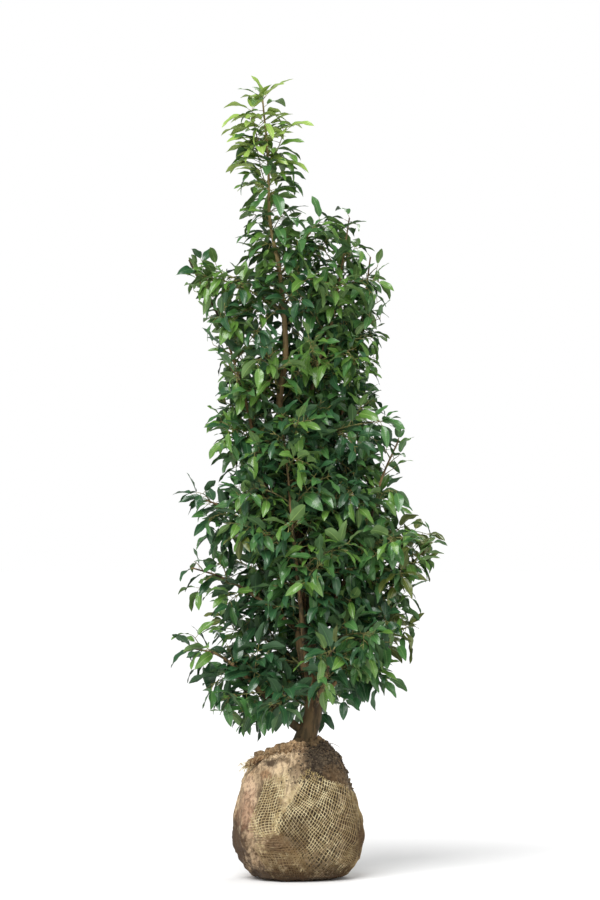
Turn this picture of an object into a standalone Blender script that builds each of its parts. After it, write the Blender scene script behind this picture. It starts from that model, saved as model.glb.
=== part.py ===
"""Narrow-leaved evergreen sapling, dug from the field, standing on its root ball.

One tapering trunk rises from a root ball wrapped in jute and carries thirteen boughs.
Every limb ends in a leafy mass, and tiers of masses stand round the trunk between them.
Units are metres, +Z is up, and the origin is the centre of the root ball's flat underside.
The front of the plant faces -Y.
"""
import math
import random

import bmesh
import bpy
import numpy as np
from mathutils import Vector
from mathutils.bvhtree import BVHTree

# ---- driving dimensions ------------------------------------------------------------
GAP = 0.0003                # clearance where two sub-parts touch
PLANT_TOP = 2.115           # height of the topmost leaf
GROUND = 0.347              # level of the soil round the foot of the trunk

BALL_CENTRE = (-0.012, 0.0)
BALL_RADIUS = 0.170         # at its widest, low down
BALL_HEIGHT = 0.352
BALL_SEGMENTS = 26
BALL_RINGS = 16
# radius and height along the ball's side, as shares of the two values above
BALL_PROFILE = ((0.0, 0.0), (0.60, 0.0), (0.80, 0.04), (0.95, 0.15), (1.0, 0.31), (0.95, 0.47),
                (0.87, 0.63), (0.78, 0.79), (0.66, 0.90), (0.42, 0.975), (0.0, 1.0))
SLUMP = 0.045               # the soil sags outwards low down, most at this turn
SLUMP_TURN = 2.9
# lumps round the ball: depth as a share of its radius, how many, first turn, twist a metre
LUMPS = ((0.018, 3, 1.0, 9.0), (0.012, 5, 0.0, 14.0))
LUMP_FADE = 0.04            # height over which the lumps fade out towards the flat underside
UNDERCUT = 0.16             # the left side is rounder at its foot than the right
UNDERCUT_HEIGHT = 0.09
MOUND_PLACE = (0.052, 0.012)     # the bare soil beside the trunk is heaped a little
MOUND_HEIGHT = 0.020
MOUND_SPREAD = 0.050
SHOULDER_DROP = 0.030       # the top slopes down to the left by this much
SHOULDER_REACH = 0.120      # over this distance from the middle

HEM_RADIUS = 0.018          # gathered edge of the jute on top of the ball
HEM_REACH = 0.122           # distance of the gathered edge from the trunk
HEM_START = math.radians(95)     # where the edge starts and ends, round the trunk
HEM_END = math.radians(262)
HEM_POINTS = 10
HEM_SIDES = 8
HEM_STEP = 0.020
HEM_LIFT = 0.004            # how far the roll's middle stands above the ball

LEAF_LENGTH = 0.114
LEAF_WIDTH = 0.048
LEAF_THICKNESS = 0.0024
LEAF_FOLD = 0.006           # how far the edges stand above the midrib
LEAF_ARCH = 0.014           # how far the middle stands above the line from root to tip
LEAF_SINK = 0.4             # how far a leaf's root is sunk past its twig's axis, in twig radii
LEAF_DROOP = 0.95           # pull of its weight on a leaf's direction
LEAF_SPREAD = (48, 68)      # least and most degrees between a leaf and its twig
LEAF_ROLL = math.radians(38)     # how far a leaf may turn about its midrib
LEAF_WAIST = 0.46           # where a leaf is widest, as a share of its length
# faces of a leaf between its corners: root, tip, right edge, left edge, top and bottom
LEAF_FACES = ((0, 4, 2), (0, 3, 4), (1, 2, 4), (1, 4, 3), (0, 2, 5), (0, 5, 3), (1, 5, 2), (1, 3, 5))
LEAF_TRIES = 8              # turns that a leaf tries until it fits its mass's space
LEAF_STEP = 0.029           # distance between leaves along a twig
STEP_JITTER = (0.85, 1.15)  # least and most of that distance, as shares
TIP_LEANS = (0.0, 0.7, -0.7)     # ways tried for the leaf at a twig's tip
LEADER_FOOT = 1.70          # above this height leaves are smaller and stand closer
LEADER_LEAF = 0.70          # their length there, as a share
LEADER_STEP = 0.62          # the distance between them there, as a share
LEAF_ROOM = 0.0030          # what a leaf keeps clear of limbs and of other masses' space
SPACE_BLEND = 0.022         # how far a leaf may reach past the middle between two stems
FIRST_LEAF = 0.035          # bare length at the foot of a mass's stem
GOLDEN_TURN = math.radians(137.5)

TWIG_STEP = 0.100           # distance between side twigs along a mass's stem
TWIG_SPREAD = math.radians(48)
TWIG_LENGTH = 0.605         # length of the lowest side twig, as a share of the stem
TWIG_SHORTENING = 0.55      # how much less of that is left at the stem's tip
TWIG_LEAST = 0.05           # length of the shortest side twig
LAST_TWIG = 0.8             # share of the stem past which there are no side twigs
STEM_RADIUS = 0.0030
TWIG_RADIUS = 0.0020
TWIG_END_RADIUS = 0.0012
TWIG_SIDES = 3
STEM_POINTS = 4
STEM_BEND = 0.9             # how far a tier's stem first rises, for each unit outwards
ROOT_OVERLAP = 0.002        # how far a stem starts inside its limb before it is cut clear

TRUNK_SIDES = 10
BOUGH_SIDES = 6
LIMB_STEP = 0.085           # distance between rings along a limb

ROOT_FLARE = 0.0110         # added to the trunk's radius at its foot
FLARE_HEIGHT = 0.090        # height over which the flare fades
TRUNK_TAPER = 1.2           # power of the taper from foot to tip
BOUGH_TAPER = 0.9
TRUNK_FOOT = (0.004, 0.000, GROUND + GAP)
# Each limb: name, radius at its foot, radius at its leafy tip, the share of its length
# that is bare wood, and the points it passes through.  The rest is a mass's stem.
TRUNK = ("trunk", 0.0200, 0.0022, 0.80,
         (TRUNK_FOOT, (0.006, 0.000, GROUND + 0.020), (0.026, 0.002, 0.430),
          (0.024, 0.004, 0.500), (0.006, 0.004, 0.570), (-0.003, 0.002, 0.640),
          (0.006, 0.000, 0.720), (-0.003, -0.004, 0.850), (-0.022, -0.006, 0.980),
          (-0.030, -0.004, 1.080), (-0.062, 0.000, 1.236), (-0.046, 0.004, 1.368),
          (-0.050, 0.002, 1.481), (-0.062, 0.000, 1.600), (-0.087, 0.000, 1.731),
          (-0.092, 0.002, 1.888), (-0.106, 0.000, 2.046)))
BOUGHS = (
    ("right_stem", 0.0085, 0.0020, 0.42,
     ((-0.016, -0.004, 1.020), (0.000, -0.030, 1.160), (0.032, -0.040, 1.323),
      (0.070, -0.032, 1.440), (0.094, -0.026, 1.560), (0.122, -0.024, 1.735))),
    ("left_stem", 0.0090, 0.0020, 0.46,
     ((-0.003, -0.002, 0.790), (-0.062, -0.020, 0.930), (-0.112, -0.030, 1.086),
      (-0.147, -0.034, 1.241), (-0.184, -0.030, 1.368), (-0.222, -0.024, 1.475),
      (-0.262, -0.018, 1.550), (-0.300, -0.014, 1.625))),
    ("right_outer_stem", 0.0085, 0.0020, 0.45,
     ((-0.008, 0.002, 0.890), (0.056, 0.046, 1.060), (0.104, 0.066, 1.231),
      (0.140, 0.062, 1.389), (0.160, 0.050, 1.500), (0.178, 0.040, 1.635))),
    ("right_low_stem", 0.0120, 0.0022, 0.45,
     ((0.004, 0.002, 0.590), (0.042, -0.012, 0.640), (0.066, -0.030, 0.700),
      (0.124, -0.044, 0.810), (0.172, -0.050, 0.930), (0.206, -0.044, 1.050),
      (0.250, -0.036, 1.150))),
    ("right_long_shoot", 0.0090, 0.0020, 0.45,
     ((0.026, 0.004, 0.500), (0.110, 0.000, 0.610), (0.190, -0.004, 0.710),
      (0.262, -0.010, 0.800), (0.338, 0.000, 0.882))),
    ("right_skirt_bough", 0.0080, 0.0020, 0.45,
     ((0.026, 0.002, 0.450), (0.090, -0.024, 0.520), (0.160, -0.040, 0.590),
      (0.214, -0.044, 0.635), (0.270, -0.050, 0.660))),
    ("left_skirt_bough", 0.0140, 0.0022, 0.45,
     ((0.006, 0.000, 0.382), (-0.034, -0.010, 0.412), (-0.100, -0.026, 0.480),
      (-0.170, -0.036, 0.550), (-0.226, -0.036, 0.590), (-0.292, -0.036, 0.606))),
    ("left_low_bough", 0.0080, 0.0020, 0.45,
     ((-0.003, 0.002, 0.640), (-0.087, 0.014, 0.712), (-0.164, 0.016, 0.765),
      (-0.226, 0.010, 0.795), (-0.294, 0.006, 0.816))),
    ("left_middle_bough", 0.0075, 0.0020, 0.45,
     ((-0.003, 0.000, 0.740), (-0.087, 0.040, 0.850), (-0.160, 0.040, 0.930),
      (-0.214, 0.026, 0.975), (-0.284, 0.020, 1.005))),
    ("front_stem", 0.0095, 0.0020, 0.40,
     ((0.010, -0.002, 0.560), (0.000, -0.080, 0.660), (-0.014, -0.136, 0.800),
      (-0.030, -0.156, 0.950), (-0.040, -0.150, 1.070), (-0.056, -0.170, 1.210))),
    ("back_stem", 0.0100, 0.0020, 0.42,
     ((-0.002, 0.002, 0.650), (0.016, 0.080, 0.770), (0.030, 0.130, 0.920),
      (0.034, 0.150, 1.090), (0.024, 0.142, 1.240), (0.004, 0.152, 1.390))),
    ("front_skirt_bough", 0.0080, 0.0020, 0.45,
     ((0.026, 0.000, 0.440), (0.050, -0.080, 0.500), (0.066, -0.150, 0.560),
      (0.072, -0.196, 0.600), (0.078, -0.256, 0.610))),
    ("back_skirt_bough", 0.0085, 0.0020, 0.45,
     ((0.026, 0.004, 0.455), (0.000, 0.090, 0.520), (-0.024, 0.160, 0.580),
      (-0.036, 0.206, 0.620), (-0.046, 0.266, 0.630))),
)

# How far the crown reaches left, right, and to the front and back, at each height.
CROWN_HEIGHTS = (0.36, 0.42, 0.50, 0.60, 0.70, 0.80, 0.90, 1.00, 1.10, 1.20, 1.30, 1.45, 1.60,
                 1.65, 1.69, 1.77, 1.82, 2.00, 2.12)
CROWN_LEFT = (0.12, 0.21, 0.30, 0.345, 0.325, 0.345, 0.27, 0.335, 0.29, 0.26, 0.235, 0.26, 0.335,
              0.34, 0.18, 0.19, 0.18, 0.21, 0.16)
CROWN_RIGHT = (0.04, 0.10, 0.28, 0.29, 0.325, 0.345, 0.375, 0.25, 0.26, 0.29, 0.20, 0.22, 0.225,
               0.225, 0.18, 0.17, 0.01, 0.015, -0.02)
CROWN_DEPTH = (0.10, 0.19, 0.27, 0.30, 0.31, 0.32, 0.31, 0.29, 0.28, 0.27, 0.25, 0.235, 0.215,
               0.20, 0.18, 0.15, 0.13, 0.12, 0.08)
CROWN_SLACK = 1.10          # how far past that outline a leaf may reach, as a share of it
CROWN_INSET = 0.072         # a mass's stem ends this far inside the outline

# The masses on the trunk stand in tiers: height where their stems end, how many stand
# round the trunk, the turn of the first one in degrees from +X, and the rise of a stem.
TIERS = (
    (0.470, 3, 80.0, 0.050),
    (0.650, 4, 45.0, 0.130),
    (0.830, 5, 60.0, 0.150),
    (1.010, 5, 20.0, 0.160),
    (1.200, 5, 50.0, 0.160),
    (1.390, 4, 65.0, 0.150),
    (1.580, 4, 20.0, 0.130),
    (1.730, 2, 110.0, 0.130),
)
TIER_SWINGS = (0.0, 12.0, -12.0, 24.0, -24.0, 36.0, -36.0)     # turns tried to miss a bough
TIER_STAGGER = 0.016        # each stem of a tier leaves the trunk this much higher
STEM_ROOM = 0.014           # what a tier's stem keeps clear of boughs and other stems
SEED = 77


# ---- numbers -----------------------------------------------------------------------
def smooth_path(knots, step):
    """Return points about one step apart on a Catmull-Rom curve through the knots."""
    knots = np.array(knots, dtype=float)
    padded = np.vstack((2 * knots[0] - knots[1], knots, 2 * knots[-1] - knots[-2]))
    points = []
    for before, start, end, after in zip(padded, padded[1:], padded[2:], padded[3:]):
        count = max(1, round(float(np.linalg.norm(end - start)) / step))
        for index in range(count):
            t = index / count
            points.append(0.5 * (2 * start + (end - before) * t
                                 + (2 * before - 5 * start + 4 * end - after) * t ** 2
                                 + (3 * start - before - 3 * end + after) * t ** 3))
    points.append(knots[-1])
    return np.array(points)


def shares_along(path):
    """Return how far along the path each point lies, from 0 to 1."""
    lengths = np.linalg.norm(np.diff(path, axis=0), axis=1)
    return np.concatenate(([0.0], np.cumsum(lengths))) / lengths.sum()


def distance_to_line(points, path, radii=None):
    """Return each point's distance to a polyline, or to a tapered tube along it."""
    starts = path[:-1]
    spans = path[1:] - starts
    offsets = points[:, None, :] - starts[None, :, :]
    shares = np.clip((offsets * spans).sum(axis=2) / (spans ** 2).sum(axis=1), 0.0, 1.0)
    distances = np.linalg.norm(offsets - shares[:, :, None] * spans, axis=2)
    if radii is not None:
        distances = distances - np.maximum(radii[:-1], radii[1:])
    return distances.min(axis=1)


def points_between(start, end, count):
    """Return points evenly spread from start to end, without the start."""
    return start + np.linspace(0.0, 1.0, count + 1)[1:, None] * (end - start)


def unit(vector):
    return vector / np.linalg.norm(vector)


def round_frame(along):
    """Return two directions square to a twig and to each other."""
    side = unit(np.cross(along, (0.3, 0.2, 0.93)))
    return side, np.cross(side, along)


def place_on(path, share):
    """Return the point at a share of a path's length."""
    shares = shares_along(path)
    return np.array([np.interp(share, shares, path[:, axis]) for axis in range(3)])


def heading(path, share):
    """Return the direction of a path at a share of its points."""
    index = min(int(share * (len(path) - 1)), len(path) - 2)
    return unit(path[index + 1] - path[index])


def length_of(path):
    return float(np.linalg.norm(np.diff(path, axis=0), axis=1).sum())


def crown_section(heights):
    """Return the middle, half width and half depth of the crown at each height."""
    left = np.interp(heights, CROWN_HEIGHTS, CROWN_LEFT)
    right = np.interp(heights, CROWN_HEIGHTS, CROWN_RIGHT)
    return (right - left) / 2, (right + left) / 2, np.interp(heights, CROWN_HEIGHTS, CROWN_DEPTH)


def in_crown(points):
    """Say whether every point lies inside the crown's outline."""
    middle, across, depth = crown_section(points[:, 2])
    return bool((((points[:, 0] - middle) / across) ** 2 + (points[:, 1] / depth) ** 2
                 < CROWN_SLACK ** 2).all() and points[:, 2].max() < PLANT_TOP)


def crown_place(height, turn):
    """Return the place where a stem ends, a little inside the outline, in a direction."""
    middle, across, depth = crown_section(height)
    return np.array((middle + (across - CROWN_INSET) * math.cos(turn),
                     (depth - CROWN_INSET) * math.sin(turn), height))


# ---- Blender helpers ---------------------------------------------------------------
def clear_scene():
    for scene_object in list(bpy.data.objects):
        bpy.data.objects.remove(scene_object, do_unlink=True)


def new_collection(name):
    collection = bpy.data.collections.new(name)
    bpy.context.scene.collection.children.link(collection)
    return collection


def new_material(name, colour, roughness):
    material = bpy.data.materials.new(name)
    material.use_nodes = True
    shader = material.node_tree.nodes["Principled BSDF"]
    shader.inputs["Base Color"].default_value = (*colour, 1.0)
    shader.inputs["Roughness"].default_value = roughness
    shader.inputs["Metallic"].default_value = 0.0
    material.diffuse_color = (*colour, 1.0)
    return material


def add_object(name, mesh, collection, material=None):
    scene_object = bpy.data.objects.new(name, mesh)
    if material is not None:
        mesh.materials.clear()
        mesh.materials.append(material)
    collection.objects.link(scene_object)
    return scene_object


def evaluated_mesh(scene_object):
    """Return the object's mesh with its modifiers applied."""
    bpy.context.view_layer.update()
    graph = bpy.context.evaluated_depsgraph_get()
    return bpy.data.meshes.new_from_object(scene_object.evaluated_get(graph))


def section_curve(sides):
    """Make a round section with a few sides, of radius 1, to sweep along a path."""
    curve = bpy.data.curves.new("section", "CURVE")
    spline = curve.splines.new("POLY")
    spline.points.add(sides - 1)
    for index, point in enumerate(spline.points):
        turn = 2 * math.pi * index / sides
        point.co = (math.cos(turn), math.sin(turn), 0.0, 1.0)
    spline.use_cyclic_u = True
    return curve


def tapered_tube(name, path, radii, sides, collection):
    """Sweep a section along a path and return it as a closed mesh object."""
    section = add_object("section", section_curve(sides), collection)
    curve = bpy.data.curves.new(name, "CURVE")
    curve.dimensions = "3D"
    curve.twist_mode = "MINIMUM"
    curve.bevel_mode = "OBJECT"
    curve.bevel_object = section
    curve.use_fill_caps = True
    spline = curve.splines.new("POLY")
    spline.points.add(len(path) - 1)
    for point, place, radius in zip(spline.points, path, radii):
        point.co = (*place, 1.0)
        point.radius = radius
    carrier = add_object(name, curve, collection)
    mesh = evaluated_mesh(carrier)
    bpy.data.objects.remove(carrier, do_unlink=True)
    bpy.data.objects.remove(section, do_unlink=True)
    weld(mesh)
    return add_object(name, mesh, collection)


def weld(mesh):
    """Join the caps to the walls, turn every face outwards and split it to triangles."""
    shape = bmesh.new()
    shape.from_mesh(mesh)
    bmesh.ops.remove_doubles(shape, verts=shape.verts, dist=0.00001)
    bmesh.ops.recalc_face_normals(shape, faces=shape.faces)
    bmesh.ops.triangulate(shape, faces=shape.faces)
    shape.to_mesh(mesh)
    shape.free()


def combine(target, operation, operand, collection=False):
    """Apply one Boolean to the target and leave it a plain mesh."""
    boolean = target.modifiers.new("combine", "BOOLEAN")
    boolean.operation = operation
    boolean.solver = "MANIFOLD"
    if collection:
        boolean.operand_type = "COLLECTION"
        boolean.collection = operand
    else:
        boolean.object = operand
    mesh = evaluated_mesh(target)
    target.modifiers.clear()
    target.data = mesh


def keep_largest_body(mesh):
    """Drop loose scraps and sealed hollows: only the body with the most faces stays."""
    shape = bmesh.new()
    shape.from_mesh(mesh)
    unseen = set(shape.verts)
    bodies = []
    while unseen:
        front = [unseen.pop()]
        body = list(front)
        while front:
            vertex = front.pop()
            for edge in vertex.link_edges:
                other = edge.other_vert(vertex)
                if other in unseen:
                    unseen.remove(other)
                    front.append(other)
                    body.append(other)
        bodies.append(body)
    bodies.sort(key=len)
    for body in bodies[:-1]:
        bmesh.ops.delete(shape, geom=body, context="VERTS")
    bmesh.ops.triangulate(shape, faces=shape.faces)
    shape.to_mesh(mesh)
    shape.free()


def tree_of(scene_object):
    """Return a search tree of the object's triangles, for touching tests."""
    shape = bmesh.new()
    shape.from_mesh(scene_object.data)
    tree = BVHTree.FromBMesh(shape)
    shape.free()
    return tree


# ---- root ball ---------------------------------------------------------------------
def ball_surface(turn, share):
    """Return a point of the ball's side at a turn and a share of the way up its profile."""
    steps = np.linspace(0.0, 1.0, len(BALL_PROFILE))
    radius = float(np.interp(share, steps, [knot[0] for knot in BALL_PROFILE])) * BALL_RADIUS
    height = float(np.interp(share, steps, [knot[1] for knot in BALL_PROFILE])) * BALL_HEIGHT
    slump = SLUMP * math.cos(turn - SLUMP_TURN) * (1.0 - height / BALL_HEIGHT)
    lumps = sum(depth * math.sin(count * turn + first + twist * height)
                for depth, count, first, twist in LUMPS)
    radius *= 1.0 + slump + lumps * min(1.0, height / LUMP_FADE)
    undercut = max(0.0, 1.0 - height / UNDERCUT_HEIGHT) * (1.0 - math.cos(turn)) / 2
    radius *= 1.0 - UNDERCUT * undercut
    x = BALL_CENTRE[0] + radius * math.cos(turn)
    y = BALL_CENTRE[1] + radius * math.sin(turn)
    away = ((x - MOUND_PLACE[0]) ** 2 + (y - MOUND_PLACE[1]) ** 2) / MOUND_SPREAD ** 2
    rise = MOUND_HEIGHT * math.exp(-away) * (height / BALL_HEIGHT) ** 4
    sloping = max(0.0, min(1.0, (BALL_CENTRE[0] - x) / SHOULDER_REACH))
    drop = SHOULDER_DROP * sloping * (height / BALL_HEIGHT) ** 4
    return x, y, height + rise - drop


def make_root_ball(collection, material):
    """A lumpy bag of soil: a sphere drawn to the profile, flat below."""
    shape = bmesh.new()
    bmesh.ops.create_uvsphere(shape, u_segments=BALL_SEGMENTS, v_segments=BALL_RINGS, radius=1.0)
    for vertex in shape.verts:
        turn = math.atan2(vertex.co.y, vertex.co.x)
        share = 1.0 - math.acos(max(-1.0, min(1.0, vertex.co.z))) / math.pi
        vertex.co = ball_surface(turn, share)
    mesh = bpy.data.meshes.new("root_ball")
    bmesh.ops.recalc_face_normals(shape, faces=shape.faces)
    bmesh.ops.triangulate(shape, faces=shape.faces)
    shape.to_mesh(mesh)
    shape.free()
    return add_object("root_ball", mesh, collection, material)


def seat_trunk(ball, trunk, collection):
    """Sink a flat-bottomed socket in the ball that holds the foot of the trunk."""
    room = trunk.make_room(collection)
    combine(ball, "DIFFERENCE", room)
    bpy.data.objects.remove(room, do_unlink=True)
    keep_largest_body(ball.data)


def ball_top(x, y):
    """Return the height of the ball's upper side at a place."""
    turn = math.atan2(y - BALL_CENTRE[1], x - BALL_CENTRE[0])
    reach = math.hypot(x - BALL_CENTRE[0], y - BALL_CENTRE[1])
    low, high = 0.5, 1.0
    for _ in range(24):
        middle = (low + high) / 2
        place = ball_surface(turn, middle)
        if math.hypot(place[0] - BALL_CENTRE[0], place[1] - BALL_CENTRE[1]) > reach:
            low = middle
        else:
            high = middle
    return place[2]


def make_hem(ball, collection, material):
    """The gathered edge of the jute: a lumpy roll lying on the ball, left of the trunk."""
    knots = []
    shares = np.linspace(0.0, 1.0, HEM_POINTS)
    for share in shares:
        turn = HEM_START + (HEM_END - HEM_START) * share
        reach = HEM_REACH * (0.62 + 0.42 * math.sin(math.pi * share))
        x = TRUNK_FOOT[0] + reach * math.cos(turn)
        y = TRUNK_FOOT[1] + reach * math.sin(turn)
        knots.append((x, y, ball_top(x, y) + HEM_LIFT))
    swell = HEM_RADIUS * (0.55 + 0.45 * np.sin(math.pi * shares) + 0.14 * np.sin(11 * shares))
    path = smooth_path(knots, HEM_STEP)
    radii = np.interp(shares_along(path), shares, swell)
    hem = tapered_tube("jute_hem", path, radii, HEM_SIDES, collection)
    grown = add_object("ball_room", ball.data.copy(), collection)
    normals = [vertex.normal.copy() for vertex in grown.data.vertices]
    for vertex, normal in zip(grown.data.vertices, normals):
        vertex.co += normal * GAP * 1.08
    combine(hem, "DIFFERENCE", grown)
    bpy.data.objects.remove(grown, do_unlink=True)
    keep_largest_body(hem.data)
    hem.data.materials.append(material)
    return hem


# ---- limbs -------------------------------------------------------------------------
class Limb:
    """A tapering limb: its bare wood, the stem of the mass on its tip, and the room round it."""

    def __init__(self, spec, sides, power, flare=0.0):
        self.name, foot_radius, tip_radius, bare, knots = spec
        self.sides = sides
        whole = smooth_path(knots, LIMB_STEP)
        shares = shares_along(whole)
        rest = np.clip(1.0 - shares, 0.0, 1.0) ** power
        radii = tip_radius + (foot_radius - tip_radius) * rest
        if flare:
            radii = radii + flare * np.exp((GROUND - whole[:, 2]) / FLARE_HEIGHT)
        count = int(np.searchsorted(shares, bare))
        self.path = whole[:count]
        self.radii = radii[:count]
        self.leafy_path = whole[count - 1:]

    def at_height(self, height):
        """Return the limb's centre at a height."""
        return np.array([np.interp(height, self.path[:, 2], self.path[:, axis]) for axis in range(3)])

    def direction_at_tip(self):
        return unit(self.path[-1] - self.path[-2])

    def make(self, collection, material):
        limb = tapered_tube(self.name, self.path, self.radii, self.sides, collection)
        limb.data.materials.append(material)
        return limb

    def make_room(self, collection):
        """Return the limb grown by the gap all over, to cut others clear of it."""
        path = self.path.copy()
        path[0] -= unit(path[1] - path[0]) * GAP
        path[-1] += self.direction_at_tip() * GAP
        radii = self.radii + GAP / math.cos(math.pi / self.sides)
        return tapered_tube(self.name + "_room", path, radii, self.sides, collection)


def make_limbs(collection, material):
    """Make the trunk, then each bough cut clear of the limb that it leaves."""
    trunk = Limb(TRUNK, TRUNK_SIDES, TRUNK_TAPER, ROOT_FLARE)
    limbs = {trunk.name: trunk}
    objects = {trunk.name: trunk.make(collection, material)}
    room = trunk.make_room(collection)
    for spec in BOUGHS:
        bough = Limb(spec, BOUGH_SIDES, BOUGH_TAPER)
        limbs[bough.name] = bough
        objects[bough.name] = bough.make(collection, material)
        combine(objects[bough.name], "DIFFERENCE", room)
        keep_largest_body(objects[bough.name].data)
    bpy.data.objects.remove(room, do_unlink=True)
    return limbs, objects


# ---- foliage masses ----------------------------------------------------------------
class Mass:
    """A leafy mass: the limb that carries it and the path of its stem."""

    def __init__(self, name, limb, stem):
        self.name = name
        self.limb = limb
        self.stem = stem


def arched_stem(start, end):
    """Return a path that leaves its limb outwards and bends up or down to its end."""
    outward = unit((end - start) * (1.0, 1.0, 0.0))
    rising = unit(outward + np.array((0.0, 0.0, STEM_BEND)))
    bend = start + rising * 0.5 * np.linalg.norm(end - start)
    shares = np.linspace(0.0, 1.0, STEM_POINTS)[:, None]
    return (1 - shares) ** 2 * start + 2 * shares * (1 - shares) * bend + shares ** 2 * end


def stem_is_clear(stem, limbs, masses):
    """Say whether a stem keeps its room from every bough and from the other stems."""
    points = np.vstack([points_between(first, last, 4) for first, last in zip(stem, stem[1:])])
    points = points[np.linalg.norm(points - stem[0], axis=1) > STEM_ROOM * 1.5]
    boughs = [limb for limb in limbs.values() if limb.name != "trunk"]
    if any((distance_to_line(points, limb.path, limb.radii) < STEM_ROOM).any() for limb in boughs):
        return False
    return not any((distance_to_line(points, mass.stem) < STEM_ROOM).any() for mass in masses)


def plan_masses(limbs):
    """Return the masses on the limbs' tips, then the tiers of masses round the trunk."""
    masses = []
    for limb in limbs.values():
        stem = limb.leafy_path.copy()
        stem[0] -= limb.direction_at_tip() * ROOT_OVERLAP
        masses.append(Mass(limb.name + "_foliage", limb, stem))
    trunk = limbs["trunk"]
    for tier, (height, count, first, rise) in enumerate(TIERS, start=1):
        for index in range(count):
            start = trunk.at_height(height - rise + TIER_STAGGER * index)
            for swing in TIER_SWINGS:
                turn = math.radians(first + 360.0 * index / count + swing)
                stem = arched_stem(start, crown_place(height, turn))
                if stem_is_clear(stem, limbs, masses):
                    masses.append(Mass(f"foliage_{tier}_{index + 1}", trunk, stem))
                    break
    return masses


def leaf_corners(root, along, face, size):
    """Return a leaf's six corners: root, tip, two edges, and the midrib's top and bottom."""
    across = np.cross(face, along)
    middle = root + (along * (LEAF_LENGTH * LEAF_WAIST) + face * LEAF_ARCH) * size
    rib = face * (LEAF_THICKNESS / 2)
    edge = across * (LEAF_WIDTH / 2) * size
    lift = face * LEAF_FOLD
    return np.array((root, root + along * LEAF_LENGTH * size, middle + edge + lift,
                     middle - edge + lift, middle + rib, middle - rib))


def twig_blade(start, end):
    """Return a slim solid along a twig, with a leaf's corners, to test what it touches."""
    along = unit(end - start)
    side, over = (way * TWIG_RADIUS * 2 for way in round_frame(along))
    middle = (start + end) / 2
    return np.array((start + along * STEM_ROOM, end + along * TWIG_RADIUS, middle + side, middle - side,
                     middle - over, middle + over))


def samples_of(corners):
    """Return points spread over a leaf, to test it against its mass's space."""
    root, tip, left, right, top, bottom = corners
    rib = (top + bottom) / 2
    middles = [(first + second) / 2 for first, second in
               ((root, left), (root, right), (root, rib), (tip, left), (tip, right), (tip, rib))]
    return np.array([tip, left, right, top, bottom, *middles])


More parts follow.
